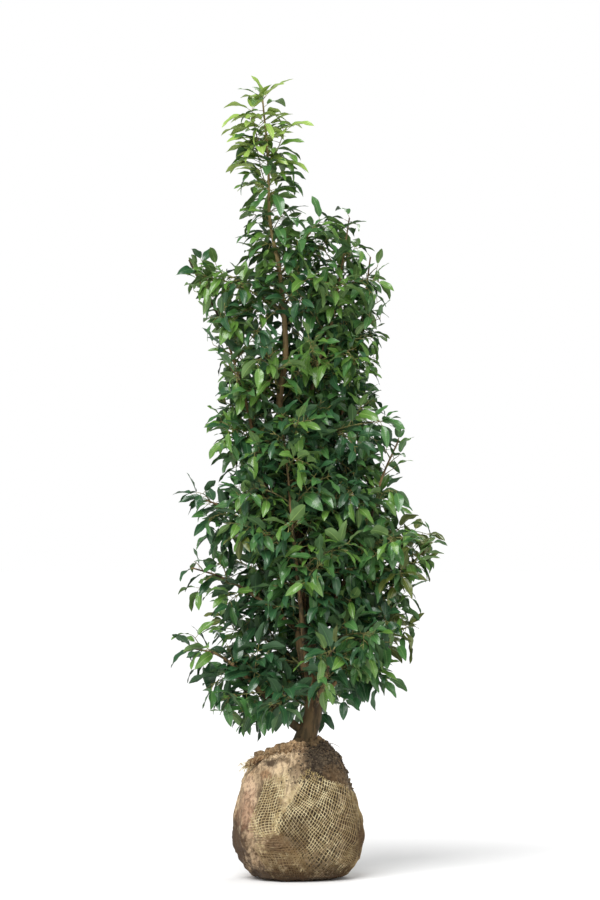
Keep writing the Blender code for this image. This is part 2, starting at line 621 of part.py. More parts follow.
class Grower:
    """Grows the masses one by one, each in the space nearest to its own stem."""

    def __init__(self, limbs, masses, solids, collection, material):
        self.limbs = limbs
        self.masses = masses
        self.collection = collection
        self.material = material
        self.solids = [tree_of(solid) for solid in solids]
        self.stems = {mass.name: self.stem_tree(mass) for mass in masses}

    def stem_tree(self, mass):
        """Return a search tree of a mass's stem, a little thicker than it will be."""
        radii = [STEM_RADIUS + LEAF_ROOM] * len(mass.stem)
        stem = tapered_tube(mass.name, mass.stem, radii, TWIG_SIDES, self.collection)
        tree = tree_of(stem)
        bpy.data.objects.remove(stem, do_unlink=True)
        return tree

    def is_free(self, points, mass, room):
        """Say whether points lie in the crown, in the mass's own space and clear of limbs."""
        if not in_crown(points):
            return False
        limit = np.maximum(distance_to_line(points, mass.stem) - SPACE_BLEND, STEM_ROOM) + room
        for other in self.masses:
            if other is not mass and (distance_to_line(points, other.stem) < limit).any():
                return False
        for limb in self.limbs.values():
            if (distance_to_line(points, limb.path, limb.radii) < room).any():
                return False
        return True

    def touches(self, corners, mass):
        """Say whether a leaf meets a solid that is made already, or another mass's stem."""
        middle = corners.mean(axis=0)
        grown = [Vector(middle + (corner - middle) * 1.05) for corner in corners]
        leaf = BVHTree.FromPolygons(grown, LEAF_FACES)
        stems = [tree for name, tree in self.stems.items() if name != mass.name]
        return any(leaf.overlap(tree) for tree in self.solids + stems)

    def add_leaf(self, mass, root, radius, along, roll, parts):
        """Add one leaf whose root is sunk in its twig, if it keeps to the mass's space."""
        droop = unit(along + np.array((0.0, 0.0, -LEAF_DROOP * (1.0 - max(0.0, along[2]) ** 2))))
        side = unit(np.cross(droop, (0.04, 0.0, 1.0)))
        face = np.cross(side, droop) * math.cos(roll) + side * math.sin(roll)
        size = LEADER_LEAF if root[2] > LEADER_FOOT else 1.0
        corners = leaf_corners(root - droop * LEAF_SINK * radius, droop, face, size)
        if not self.is_free(samples_of(corners), mass, LEAF_ROOM) or self.touches(corners, mass):
            return False
        mesh = bpy.data.meshes.new("leaf")
        mesh.from_pydata([tuple(corner) for corner in corners], [], LEAF_FACES)
        add_object("leaf", mesh, parts)
        return True

    def dress(self, mass, path, radii, first, chance, parts):
        """Set leaves round a twig, a golden turn apart, and one at its tip."""
        length = length_of(path)
        turn = chance.uniform(0.0, 2 * math.pi)
        reach = first
        while reach < length - LEAF_STEP * 0.4:
            place = place_on(path, reach / length)
            along = heading(path, reach / length)
            side, up = round_frame(along)
            radius = float(np.interp(reach / length, shares_along(path), radii))
            open_angle = math.radians(chance.uniform(*LEAF_SPREAD))
            roll = chance.uniform(-LEAF_ROLL, LEAF_ROLL)
            for _ in range(LEAF_TRIES):
                turn += GOLDEN_TURN
                outward = side * math.cos(turn) + up * math.sin(turn)
                way = along * math.cos(open_angle) + outward * math.sin(open_angle)
                if self.add_leaf(mass, place, radius, way, roll, parts):
                    break
            step = LEAF_STEP * (LEADER_STEP if place[2] > LEADER_FOOT else 1.0)
            reach += step * chance.uniform(*STEP_JITTER)
        tip_way = heading(path, 1.0)
        for lean in TIP_LEANS:
            if self.add_leaf(mass, path[-1], radii[-1], unit(tip_way + (lean, 0.0, 0.0)), 0.0, parts):
                break

    def grow(self, mass, chance):
        """Build one mass: its stem, its side twigs and their leaves, fused to one solid."""
        parts = new_collection(mass.name + "_parts")
        length = length_of(mass.stem)
        radii = np.linspace(STEM_RADIUS, TWIG_END_RADIUS, len(mass.stem))
        stem = tapered_tube(mass.name, mass.stem, radii, TWIG_SIDES, self.collection)
        self.dress(mass, mass.stem, radii, FIRST_LEAF, chance, parts)
        turn = chance.uniform(0.0, 2 * math.pi)
        reach = FIRST_LEAF
        while reach < length * LAST_TWIG:
            foot = place_on(mass.stem, reach / length)
            along = heading(mass.stem, reach / length)
            side, up = round_frame(along)
            outward = side * math.cos(turn) + up * math.sin(turn)
            way = unit(along * math.cos(TWIG_SPREAD) + outward * math.sin(TWIG_SPREAD))
            span = max(TWIG_LEAST, length * TWIG_LENGTH - reach * TWIG_SHORTENING)
            twig = np.array((foot, foot + way * span))
            free = self.is_free(points_between(*twig, 5), mass, TWIG_RADIUS + LEAF_ROOM)
            if free and not self.touches(twig_blade(*twig), mass):
                twig_radii = (TWIG_RADIUS, TWIG_END_RADIUS)
                tapered_tube("twig", twig, twig_radii, TWIG_SIDES, parts)
                self.dress(mass, twig, twig_radii, LEAF_STEP * 0.9, chance, parts)
            turn += GOLDEN_TURN
            reach += TWIG_STEP
        self.fuse(stem, parts)
        room = mass.limb.make_room(self.collection)
        combine(stem, "DIFFERENCE", room)
        bpy.data.objects.remove(room, do_unlink=True)
        keep_largest_body(stem.data)
        stem.data.materials.append(self.material)
        self.solids.append(tree_of(stem))

    @staticmethod
    def fuse(stem, parts):
        """Join the collection's twigs and leaves to the stem and remove them."""
        if len(parts.objects):
            combine(stem, "UNION", parts, collection=True)
        for part in list(parts.objects):
            bpy.data.objects.remove(part, do_unlink=True)
        bpy.data.collections.remove(parts)


def main():
    clear_scene()
    collection = new_collection("sapling_with_root_ball")
    bark = new_material("bark", (0.16, 0.12, 0.075), 0.85)
    leaf_green = new_material("leaf", (0.045, 0.115, 0.030), 0.40)
    jute = new_material("jute", (0.42, 0.32, 0.19), 0.95)
    ball = make_root_ball(collection, jute)
    hem = make_hem(ball, collection, jute)
    limbs, limb_objects = make_limbs(collection, bark)
    seat_trunk(ball, limbs["trunk"], collection)
    masses = plan_masses(limbs)
    grower = Grower(limbs, masses, [ball, hem, *limb_objects.values()], collection, leaf_green)
    chance = random.Random(SEED)
    for mass in masses:
        grower.grow(mass, chance)


main()
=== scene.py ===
"""Looks of a narrow-leaved evergreen sapling that stands on a jute-wrapped root ball.

Bark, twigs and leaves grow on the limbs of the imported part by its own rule, and the root
ball gets its soil, its cloth and its net of jute threads.  Sizes are metres, +Z is up, and
the front of the plant faces -Y.
"""

import logging
import math
from dataclasses import dataclass, field, fields
from enum import Enum

import bpy
import numpy as np
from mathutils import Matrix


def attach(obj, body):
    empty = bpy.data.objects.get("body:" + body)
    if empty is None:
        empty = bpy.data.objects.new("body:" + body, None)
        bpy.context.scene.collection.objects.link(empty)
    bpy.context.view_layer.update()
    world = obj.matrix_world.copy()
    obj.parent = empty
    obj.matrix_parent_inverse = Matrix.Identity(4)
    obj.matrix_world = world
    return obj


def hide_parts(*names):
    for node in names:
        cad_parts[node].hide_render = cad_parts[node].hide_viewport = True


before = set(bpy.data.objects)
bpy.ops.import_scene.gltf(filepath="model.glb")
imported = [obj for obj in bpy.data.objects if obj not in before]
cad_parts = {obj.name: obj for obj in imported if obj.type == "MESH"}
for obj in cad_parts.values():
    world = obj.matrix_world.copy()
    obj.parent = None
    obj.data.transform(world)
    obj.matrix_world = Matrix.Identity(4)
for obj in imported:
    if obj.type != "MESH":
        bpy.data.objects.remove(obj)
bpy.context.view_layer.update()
LOG = logging.getLogger("sapling")

Array = np.ndarray
Chance = np.random.Generator
Colour = tuple[int, int, int]
Material = bpy.types.Material
Place = tuple[float, float, float]
Socket = bpy.types.NodeSocket
Tree = bpy.types.NodeTree

BODY = "root"
LEAF_MAP = "OFBake"        # every leaf takes the same square of this map
WEAVE_MAP = "weave"         # the cloth's own map, in metres
GOLDEN_TURN = math.radians(137.5)
GROUND = 0.347              # level of the soil round the foot of the trunk
UP = np.array((0.0, 0.0, 1.0))
SEED = 5

# Each limb: name, radius at its foot, radius at its leafy tip, the share of its length that
# is bare wood, and the points it passes through.
TRUNK = ("trunk", 0.02, 0.0022, 0.8,
         ((0.004, 0.0, 0.3473), (0.006, 0.0, 0.367), (0.026, 0.002, 0.43),
          (0.024, 0.004, 0.5), (0.006, 0.004, 0.57), (-0.003, 0.002, 0.64),
          (0.006, 0.0, 0.72), (-0.003, -0.004, 0.85), (-0.022, -0.006, 0.98),
          (-0.03, -0.004, 1.08), (-0.062, 0.0, 1.236), (-0.046, 0.004, 1.368),
          (-0.05, 0.002, 1.481), (-0.062, 0.0, 1.6), (-0.087, 0.0, 1.731),
          (-0.092, 0.002, 1.888), (-0.106, 0.0, 2.046)))
BOUGHS = (
    ("right_stem", 0.0085, 0.002, 0.42,
     ((-0.016, -0.004, 1.02), (0.0, -0.03, 1.16), (0.032, -0.04, 1.323), (0.07, -0.032, 1.44),
      (0.094, -0.026, 1.56), (0.122, -0.024, 1.735))),
    ("left_stem", 0.009, 0.002, 0.46,
     ((-0.003, -0.002, 0.79), (-0.062, -0.02, 0.93), (-0.112, -0.03, 1.086), (-0.147, -0.034, 1.241),
      (-0.184, -0.03, 1.368), (-0.222, -0.024, 1.475), (-0.262, -0.018, 1.55), (-0.3, -0.014, 1.625))),
    ("right_outer_stem", 0.0085, 0.002, 0.45,
     ((-0.008, 0.002, 0.89), (0.056, 0.046, 1.06), (0.104, 0.066, 1.231), (0.14, 0.062, 1.389),
      (0.16, 0.05, 1.5), (0.178, 0.04, 1.635))),
    ("right_low_stem", 0.012, 0.0022, 0.45,
     ((0.004, 0.002, 0.59), (0.042, -0.012, 0.64), (0.066, -0.03, 0.7), (0.124, -0.044, 0.81),
      (0.172, -0.05, 0.93), (0.206, -0.044, 1.05), (0.25, -0.036, 1.15))),
    ("right_long_shoot", 0.009, 0.002, 0.45,
     ((0.026, 0.004, 0.5), (0.11, 0.0, 0.61), (0.19, -0.004, 0.71), (0.262, -0.01, 0.8),
      (0.338, 0.0, 0.882))),
    ("right_skirt_bough", 0.008, 0.002, 0.45,
     ((0.026, 0.002, 0.45), (0.09, -0.024, 0.52), (0.16, -0.04, 0.59), (0.214, -0.044, 0.635),
      (0.27, -0.05, 0.66))),
    ("left_skirt_bough", 0.014, 0.0022, 0.45,
     ((0.006, 0.0, 0.382), (-0.034, -0.01, 0.412), (-0.1, -0.026, 0.48), (-0.17, -0.036, 0.55),
      (-0.226, -0.036, 0.59), (-0.292, -0.036, 0.606))),
    ("left_low_bough", 0.008, 0.002, 0.45,
     ((-0.003, 0.002, 0.64), (-0.087, 0.014, 0.712), (-0.164, 0.016, 0.765), (-0.226, 0.01, 0.795),
      (-0.294, 0.006, 0.816))),
    ("left_middle_bough", 0.0075, 0.002, 0.45,
     ((-0.003, 0.0, 0.74), (-0.087, 0.04, 0.85), (-0.16, 0.04, 0.93), (-0.214, 0.026, 0.975),
      (-0.284, 0.02, 1.005))),
    ("front_stem", 0.0095, 0.002, 0.4,
     ((0.01, -0.002, 0.56), (0.0, -0.08, 0.66), (-0.014, -0.136, 0.8), (-0.03, -0.156, 0.95),
      (-0.04, -0.15, 1.07), (-0.056, -0.17, 1.21))),
    ("back_stem", 0.01, 0.002, 0.42,
     ((-0.002, 0.002, 0.65), (0.016, 0.08, 0.77), (0.03, 0.13, 0.92), (0.034, 0.15, 1.09),
      (0.024, 0.142, 1.24), (0.004, 0.152, 1.39))),
    ("front_skirt_bough", 0.008, 0.002, 0.45,
     ((0.026, 0.0, 0.44), (0.05, -0.08, 0.5), (0.066, -0.15, 0.56), (0.072, -0.196, 0.6),
      (0.078, -0.256, 0.61))),
    ("back_skirt_bough", 0.0085, 0.002, 0.45,
     ((0.026, 0.004, 0.455), (0.0, 0.09, 0.52), (-0.024, 0.16, 0.58), (-0.036, 0.206, 0.62),
      (-0.046, 0.266, 0.63))),
)
# How far the leaves reach at each height: height, then left, right, and to front and back.
REACH_BY_HEIGHT = (
    (0.34, 0.1, 0.03, 0.08), (0.4, 0.19, 0.08, 0.17), (0.45, 0.27, 0.2, 0.23),
    (0.5, 0.3, 0.28, 0.27), (0.6, 0.34, 0.29, 0.3), (0.7, 0.325, 0.33, 0.31),
    (0.8, 0.345, 0.345, 0.32), (0.9, 0.28, 0.37, 0.31), (1.0, 0.33, 0.27, 0.29),
    (1.1, 0.295, 0.27, 0.28), (1.2, 0.27, 0.275, 0.27), (1.3, 0.225, 0.205, 0.25),
    (1.4, 0.255, 0.2, 0.235), (1.5, 0.265, 0.235, 0.225), (1.6, 0.33, 0.22, 0.21),
    (1.65, 0.355, 0.2, 0.2), (1.69, 0.2, 0.165, 0.18), (1.75, 0.19, 0.145, 0.16),
    (1.8, 0.18, 0.01, 0.13), (1.9, 0.185, 0.0, 0.12), (2.0, 0.22, 0.015, 0.12),
    (2.06, 0.2, 0.0, 0.1), (2.12, 0.17, -0.02, 0.08))
# Young shoots that leave the leader: their path and the radius of their foot.
SHOOTS = (
    (((-0.094, 0.0, 1.885), (-0.12, -0.004, 1.945), (-0.134, -0.004, 2.016)), 0.002),
    (((-0.092, 0.002, 1.86), (-0.066, 0.02, 1.92), (-0.05, 0.026, 1.965)), 0.0016),
    (((-0.09, 0.002, 1.8), (-0.112, 0.024, 1.87), (-0.12, 0.034, 1.915)), 0.0016))
# Tiers of stems round the trunk: height where they end, how many, first turn, and rise.
TIERS = (
    (0.47, 3, 80.0, 0.05), (0.65, 4, 45.0, 0.13), (0.83, 5, 60.0, 0.15),
    (1.01, 5, 20.0, 0.16), (1.2, 5, 50.0, 0.16), (1.39, 4, 65.0, 0.15),
    (1.58, 4, 20.0, 0.13), (1.7, 2, 110.0, 0.13))
TIER_STAGGER = 0.016


# ---- arrays ------------------------------------------------------------------------
def unit(vectors: Array) -> Array:
    """Return the vectors scaled to length 1."""
    return vectors / np.maximum(np.linalg.norm(vectors, axis=-1, keepdims=True), 1e-9)


def held(values: Array | float) -> Array:
    """Return the values held between 0 and 1."""
    return np.clip(values, 0.0, 1.0)


def evenly(count: int) -> Array:
    """Return numbers evenly spaced from 0 to 1."""
    return np.linspace(0.0, 1.0, count)


def turns_round(count: int) -> Array:
    """Return angles evenly spaced round a full turn."""
    return np.linspace(0.0, 2 * math.pi, count, endpoint=False)


def fanned(first: Array, second: Array, turn: Array) -> Array:
    """Return first cos turn + second sin turn for each turn."""
    return first * np.cos(turn)[..., None] + second * np.sin(turn)[..., None]


def along_path(path: Array, shares: Array) -> Array:
    """Return points at shares of a path's length, by straight steps between its points.

    Args:
        path: The path's points, one a row.
        shares: Numbers from 0 at its foot to 1 at its tip.

    Returns:
        One point for each share.
    """
    steps = np.linalg.norm(np.diff(path, axis=0), axis=1)
    reach = np.concatenate(([0.0], np.cumsum(steps))) / steps.sum()
    return np.stack([np.interp(shares, reach, path[:, axis]) for axis in range(3)], axis=-1)


def length_of(path: Array) -> float:
    """Return the length of a path."""
    return float(np.linalg.norm(np.diff(path, axis=0), axis=1).sum())


def smooth_path(knots: tuple[Place, ...], step: float) -> Array:
    """Return points evenly spaced on a curve through the knots.

    Formula: between two knots P1 and P2 with neighbours P0 and P3 the point at t is half of
    2 P1 + (P2 - P0) t + (2 P0 - 5 P1 + 4 P2 - P3) t^2 + (3 P1 - P0 - 3 P2 + P3) t^3.

    Args:
        knots: The points that the curve passes through.
        step: The distance between two of the returned points.

    Returns:
        The curve's points, one a row.
    """
    given = np.array(knots, dtype=float)
    padded = np.vstack((2 * given[0] - given[1], given, 2 * given[-1] - given[-2]))
    before, start, end, after = (padded[i:len(padded) - 3 + i, None, :] for i in range(4))
    t = np.linspace(0.0, 1.0, 24, endpoint=False)[None, :, None]
    curve = 0.5 * (2 * start + (end - before) * t
                   + (2 * before - 5 * start + 4 * end - after) * t ** 2
                   + (3 * start - before - 3 * end + after) * t ** 3)
    points = np.vstack((curve.reshape(-1, 3), given[-1]))
    return along_path(points, evenly(max(3, round(length_of(points) / step) + 1)))


def bowed_paths(start: Array, bend: Array, end: Array, count: int) -> Array:
    """Return many bowed paths: at t each is (1-t)^2 start + 2t(1-t) bend + t^2 end."""
    t = evenly(count)[None, :, None]
    start, bend, end = (points[:, None, :] for points in (start, bend, end))
    return (1 - t) ** 2 * start + 2 * t * (1 - t) * bend + t ** 2 * end


def round_frame(along: Array) -> tuple[Array, Array]:
    """Return two directions square to each given direction and to each other."""
    side = unit(np.cross(along, np.array((0.3, 0.2, 0.93))))
    return side, np.cross(side, along)


def noise(points: Array, cell: float, seed: float) -> Array:
    """Return smooth noise from -1 to 1 at points in space.

    Formula: each corner of a lattice of cubes gets a fixed random number, and a point takes
    the average of its cube's eight corners, weighted by 3t^2 - 2t^3 along each axis.

    Args:
        points: Places, with three numbers in the last axis.
        cell: The side of the lattice's cubes.
        seed: A number that picks another noise.

    Returns:
        One number a point.
    """
    scaled = points / cell
    base = np.floor(scaled)
    t = scaled - base
    t = t * t * (3.0 - 2.0 * t)
    total = np.zeros(points.shape[:-1])
    for corner in np.ndindex(2, 2, 2):
        place = base + np.array(corner)
        mixed = np.sin(place @ np.array((127.1, 311.7, 74.7)) + seed * 17.3) * 43758.5453
        weight = np.prod(np.where(np.array(corner) == 1, t, 1.0 - t), axis=-1)
        total += weight * ((mixed - np.floor(mixed)) * 2.0 - 1.0)
    return total


# ---- meshes ------------------------------------------------------------------------
def placed(name: str, data: bpy.types.ID) -> bpy.types.Object:
    """Put a mesh, a light or a camera into the scene as an object."""
    made = bpy.data.objects.new(name, data)
    bpy.context.scene.collection.objects.link(made)
    return made


@dataclass
class Surface:
    """Points and faces worked out as arrays.

    quads and triangles number the points; uv holds two numbers a point, and finish the
    number of the material of each face, quads first.
    """

    points: Array
    quads: Array
    triangles: Array = field(default_factory=lambda: np.zeros((0, 3), dtype=np.int64))
    uv: Array | None = None
    finish: Array | None = None
    map_name: str = LEAF_MAP

    def to_object(self, name: str, materials: list[Material], slot: str,
                  replaced: tuple[str, ...] = ()) -> None:
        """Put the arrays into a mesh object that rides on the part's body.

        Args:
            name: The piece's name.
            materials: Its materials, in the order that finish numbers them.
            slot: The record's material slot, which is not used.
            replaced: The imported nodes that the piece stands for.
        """
        mesh = bpy.data.meshes.new(name)
        corners = np.concatenate((self.quads.ravel(), self.triangles.ravel()))
        sizes = np.concatenate((np.full(len(self.quads), 4), np.full(len(self.triangles), 3)))
        starts = np.concatenate(([0], np.cumsum(sizes)[:-1]))
        mesh.vertices.add(len(self.points))
        mesh.vertices.foreach_set("co", self.points.astype(np.float32).ravel())
        mesh.loops.add(len(corners))
        mesh.loops.foreach_set("vertex_index", corners.astype(np.int32))
        mesh.polygons.add(len(sizes))
        for key, values in (("loop_start", starts), ("loop_total", sizes), ("material_index", self.finish)):
            if values is not None:
                mesh.polygons.foreach_set(key, values.astype(np.int32))
        if self.uv is not None:
            layer = mesh.uv_layers.new(name=self.map_name)
            layer.data.foreach_set("uv", self.uv[corners].astype(np.float32).ravel())
        mesh.update(calc_edges=True)
        mesh.validate()
        mesh.shade_smooth()
        for material in materials:
            mesh.materials.append(material)
        piece = placed(name, mesh)
        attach(piece, BODY)
        if replaced:
            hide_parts(*replaced)
        LOG.info("%s: %d triangles", name, 2 * len(self.quads) + len(self.triangles))

    def woven(self) -> "Surface":
        """Return the surface with a map for the weave, slanted so that no side is stretched."""
        self.uv = self.points[:, :2] + self.points[:, 2:] * np.array((0.6, 0.8))
        self.map_name = WEAVE_MAP
        return self


def joined(surfaces: list[Surface]) -> Surface:
    """Return one surface that holds all the given ones."""
    offsets = np.cumsum([0] + [len(surface.points) for surface in surfaces[:-1]])
    pairs = list(zip(surfaces, offsets))
    whole = Surface(np.vstack([surface.points for surface in surfaces]),
                    np.vstack([surface.quads + offset for surface, offset in pairs]),
                    np.vstack([surface.triangles + offset for surface, offset in pairs]))
    if surfaces[0].uv is not None:
        whole.uv = np.vstack([surface.uv for surface in surfaces])
        whole.map_name = surfaces[0].map_name
    return whole


def grid_quads(rows: int, columns: int, wrap: bool = False) -> Array:
    """Return the quads of a grid of points numbered row by row; wrap joins its two sides."""
    row = np.arange(rows - 1)[:, None] * columns
    column = np.arange(columns if wrap else columns - 1)[None, :]
    after = (column + 1) % columns
    corners = (row + column, row + after, row + columns + after, row + columns + column)
    return np.stack(corners, axis=-1).reshape(-1, 4)


def capped(grids: Array, ends: Array, wrap: bool = True) -> Surface:
    """Make a surface of many grids: quads join their rows, and fans close their ends.

    Args:
        grids: Points by piece, by row and by column.
        ends: The points that the first and the last row of each piece run together in.
        wrap: Whether the rows are rings, which makes the pieces closed solids.

    Returns:
        The pieces as one surface.
    """
    many, rows, columns, _ = grids.shape
    points = np.concatenate((grids.reshape(many, -1, 3), ends), axis=1)
    size = rows * columns + 2
    first = (np.arange(many) * size)[:, None, None]
    here = np.arange(columns if wrap else columns - 1)
    after = (here + 1) % columns
    last = (rows - 1) * columns
    foot = np.stack((np.full(len(here), size - 2), after, here), axis=-1)
    tip = np.stack((np.full(len(here), size - 1), last + here, last + after), axis=-1)
    quads = first + grid_quads(rows, columns, wrap)[None]
    fans = first + np.vstack((foot, tip))[None]
    return Surface(points.reshape(-1, 3), quads.reshape(-1, 4), fans.reshape(-1, 3))


def swept_tubes(paths: Array, radii: Array, sides: int, relief: Array | float = 1.0) -> Surface:
    """Sweep round sections along many paths at once.

    Formula: where a path runs along T, with S and U square to it, the ring of radius r is
    P + r (S cos a + U sin a), and relief multiplies r.

    Args:
        paths: Points by path, by step and by axis.
        radii: Radii by path and by step.
        sides: How many sides a ring has.
        relief: Factors by path, by step and by side.

    Returns:
        The tubes as one surface.
    """
    along = unit(np.gradient(paths, axis=1))
    steady = np.eye(3)[np.abs(along.mean(axis=1)).argmin(axis=1)][:, None, :]
    side = unit(np.cross(along, steady))
    over = np.cross(along, side)
    reach = (radii[:, :, None] * relief)[..., None]
    turn = turns_round(sides)[None, None, :]
    rings = paths[:, :, None, :] + reach * fanned(side[:, :, None, :], over[:, :, None, :], turn)
    return capped(rings, paths[:, (0, -1), :])


def tapering(paths: Array, thick: float, thin: float) -> Surface:
    """Return four-sided fibres along the paths, thick at their feet and thin at their tips."""
    radii = np.tile(np.linspace(thick, thin, paths.shape[1]), (len(paths), 1))
    return swept_tubes(paths, radii, 4)


def closed_sheet(outer: Array, inner: Array, uv: Array) -> Surface:
    """Close two grids of the same size, one above the other, into a thin solid.

    Args:
        outer: The outer grid's points, by row and column.
        inner: The inner grid's points.
        uv: The map of the outer grid for the weave, which the inner one shares.

    Returns:
        The closed surface.
    """
    rows, columns, _ = outer.shape
    count = rows * columns
    top = grid_quads(rows, columns)
    number = np.arange(count).reshape(rows, columns)
    rim = np.concatenate((number[0], number[1:, -1], number[-1, -2::-1], number[-2::-1, 0]))
    wall = np.stack((rim[:-1] + count, rim[1:] + count, rim[1:], rim[:-1]), axis=-1)
    points = np.vstack((outer.reshape(-1, 3), inner.reshape(-1, 3)))
    return Surface(points, np.vstack((top, top[:, ::-1] + count, wall)),
                   uv=np.tile(uv.reshape(-1, 2), (2, 1)), map_name=WEAVE_MAP)


# ---- node groups and finishes ------------------------------------------------------
@dataclass(frozen=True)
class Value:
    """A number inside a node tree; each sum with it adds a Math node."""

    graph: "Graph"
    socket: Socket

    def __add__(self, other: object) -> "Value":
        """Return this value plus another."""
        return self.graph.math("ADD", self, other)

    def __sub__(self, other: object) -> "Value":
        """Return this value less another."""
        return self.graph.math("SUBTRACT", self, other)

    def __rsub__(self, other: object) -> "Value":
        """Return another value less this one."""
        return self.graph.math("SUBTRACT", other, self)

    def __mul__(self, other: object) -> "Value":
        """Return this value times another."""
        return self.graph.math("MULTIPLY", self, other)

    def __truediv__(self, other: object) -> "Value":
        """Return this value over another."""
        return self.graph.math("DIVIDE", self, other)

    def __abs__(self) -> "Value":
        """Return this value without its sign."""
        return self.graph.math("ABSOLUTE", self)


def linear(colour: Colour) -> tuple[float, float, float, float]:
    """Return the linear colour of three numbers from 0 to 255, as a paint chart gives them."""
    return (*(((level / 255 + 0.055) / 1.055) ** 2.4 for level in colour), 1.0)


class Graph:
    """Short calls that add nodes to a node tree and link them."""

    def __init__(self, tree: Tree) -> None:
        """Keep the tree that the nodes go into."""
        self.tree = tree

    def node(self, kind: str, **values: object) -> bpy.types.Node:
        """Add a node of a kind, named without its leading ShaderNode, and set its properties."""
        made = self.tree.nodes.new(kind if kind.startswith("Node") else "ShaderNode" + kind)
        for name, value in values.items():
            setattr(made, name, value)
        return made

    def feed(self, node: bpy.types.Node, **inputs: object) -> bpy.types.Node:
        """Fill a node's inputs and return it.

        Args:
            node: The node.
            inputs: By name (spaces as underscores) or by number (after an underscore),
                what goes in: a number, a colour, a value or a socket.

        Returns:
            The same node.
        """
        for name, value in inputs.items():
            key = int(name[1:]) if name[1:].isdigit() else name.replace("_", " ")
            value = value.socket if isinstance(value, Value) else value
            if isinstance(value, Socket):
                self.tree.links.new(value, node.inputs[key])
            else:
                node.inputs[key].default_value = value
        return node

    def out(self, node: bpy.types.Node, key: str | int) -> Value:
        """Return a node's output as a value."""
        return Value(self, node.outputs[key])

    def math(self, operation: str, first: object, second: object = 0.0) -> Value:
        """Return the value of a new Math node."""
        return self.out(self.feed(self.node("Math", operation=operation), _0=first, _1=second), 0)

    def vector(self, operation: str, first: Socket, second: Socket) -> Socket:
        """Return the vector of a new Vector Math node."""
        return self.feed(self.node("VectorMath", operation=operation), _0=first, _1=second).outputs[0]

    def ramp(self, value: Value, low: object, high: object, first: float = 0.0, last: float = 1.0) -> Value:
        """Return the value eased from first where it is low to last where it is high."""
        made = self.node("MapRange", interpolation_type="SMOOTHSTEP")
        return self.out(self.feed(made, Value=value, From_Min=low, From_Max=high, To_Min=first,
                                  To_Max=last), 0)

    def mix(self, share: Value, first: Socket | Colour, second: Socket | Colour) -> Socket:
        """Return a colour between two, by a share."""
        first, second = (linear(one) if isinstance(one, tuple) else one for one in (first, second))
        return self.feed(self.node("Mix", data_type="RGBA"), _0=share, _6=first, _7=second).outputs[2]

    def noise(self, place: Socket, scale: object, detail: float, rough: float = 0.55) -> Value:
        """Return a noise at a place."""
        made = self.feed(self.node("TexNoise"), Vector=place, Scale=scale, Detail=detail, Roughness=rough)
        return self.out(made, "Fac")

    def map_parts(self, name: str) -> tuple[Value, Value]:
        """Return the two numbers of the object's own map of that name."""
        parts = self.feed(self.node("SeparateXYZ"), Vector=self.node("UVMap", uv_map=name).outputs[0])
        return self.out(parts, 0), self.out(parts, 1)

    def place(self) -> Socket:
        """Return the place on the object, in metres."""
        return self.node("TexCoord").outputs["Object"]


def new_group(name: str, inputs: dict[str, float | Place], outputs: tuple[str, ...]
              ) -> tuple[Graph, bpy.types.Node, bpy.types.Node]:
    """Make a shader node group with named sockets.

    Args:
        name: The group's name.
        inputs: The defaults of its inputs by name, each a number or a vector.
        outputs: The names of the numbers that it gives.

    Returns:
        The group's graph, its input node and its output node.
    """
    tree = bpy.data.node_groups.new(name, "ShaderNodeTree")
    for label, value in inputs.items():
        kind = "NodeSocketVector" if isinstance(value, tuple) else "NodeSocketFloat"
        tree.interface.new_socket(name=label, in_out="INPUT", socket_type=kind).default_value = value
    for label in outputs:
        tree.interface.new_socket(name=label, in_out="OUTPUT", socket_type="NodeSocketFloat")
    graph = Graph(tree)
    return graph, graph.node("NodeGroupInput"), graph.node("NodeGroupOutput")


def leaf_veins_group() -> Tree:
    """Build the group that draws a leaf's midrib, side veins and tip on its own map.

    Formula: across runs from 0 at the midrib to 1 at the margin of the widest place.  The
    midrib is where across is under a width that narrows to the tip.  Side veins are thin
    stripes of length less 0.13 across, so that they slant towards the tip.

    Returns:
        The group, with the outputs Rib, Vein, Tip and Height.
    """
    graph, given, made = new_group("leaf veins", {"Vein Count": 11.0}, ("Rib", "Vein", "Tip", "Height"))
    sideways, length = graph.map_parts(LEAF_MAP)
    across = abs(sideways - 0.5) * 2.0
    rib = 1.0 - graph.ramp(across / (0.09 - length * 0.06), 0.5, 1.2)
    wave = graph.math("FRACT", (length - across * 0.13) * graph.out(given, "Vein Count"))
    stripe = abs(wave - 0.5)
    graph.feed(made, Rib=rib, Vein=1.0 - graph.ramp(stripe, 0.02, 0.16), Tip=graph.ramp(length, 0.90, 1.0),
               Height=graph.ramp(stripe, 0.0, 0.5) * 0.5 - rib * 0.8)
    return graph.tree


def grain_group() -> Tree:
    """Build the group of long grain and blotches that bark, soil and cloth share.

    Formula: two noises at the object's place, the first one stretched along Z by Stretch.
    The height is the first noise plus 0.4 of the distance to the nearest crumb.

    Returns:
        The group, with the outputs Grain, Blotch and Height.
    """
    graph, given, made = new_group("grain", {"Size": 60.0, "Stretch": 0.25}, ("Grain", "Blotch", "Height"))
    place, size = graph.place(), given.outputs["Size"]
    scale = graph.feed(graph.node("CombineXYZ"), X=1.0, Y=1.0, Z=given.outputs["Stretch"])
    grain = graph.noise(graph.vector("MULTIPLY", place, scale.outputs[0]), size, 5.0, 0.6)
    crumb = graph.feed(graph.node("TexVoronoi"), Vector=place, Scale=size)
    blotch = graph.ramp(graph.noise(place, 14.0, 3.0), 0.35, 0.65)
    graph.feed(made, Grain=graph.ramp(grain, 0.3, 0.7), Blotch=blotch,
               Height=grain + graph.out(crumb, "Distance") * 0.4)
    return graph.tree


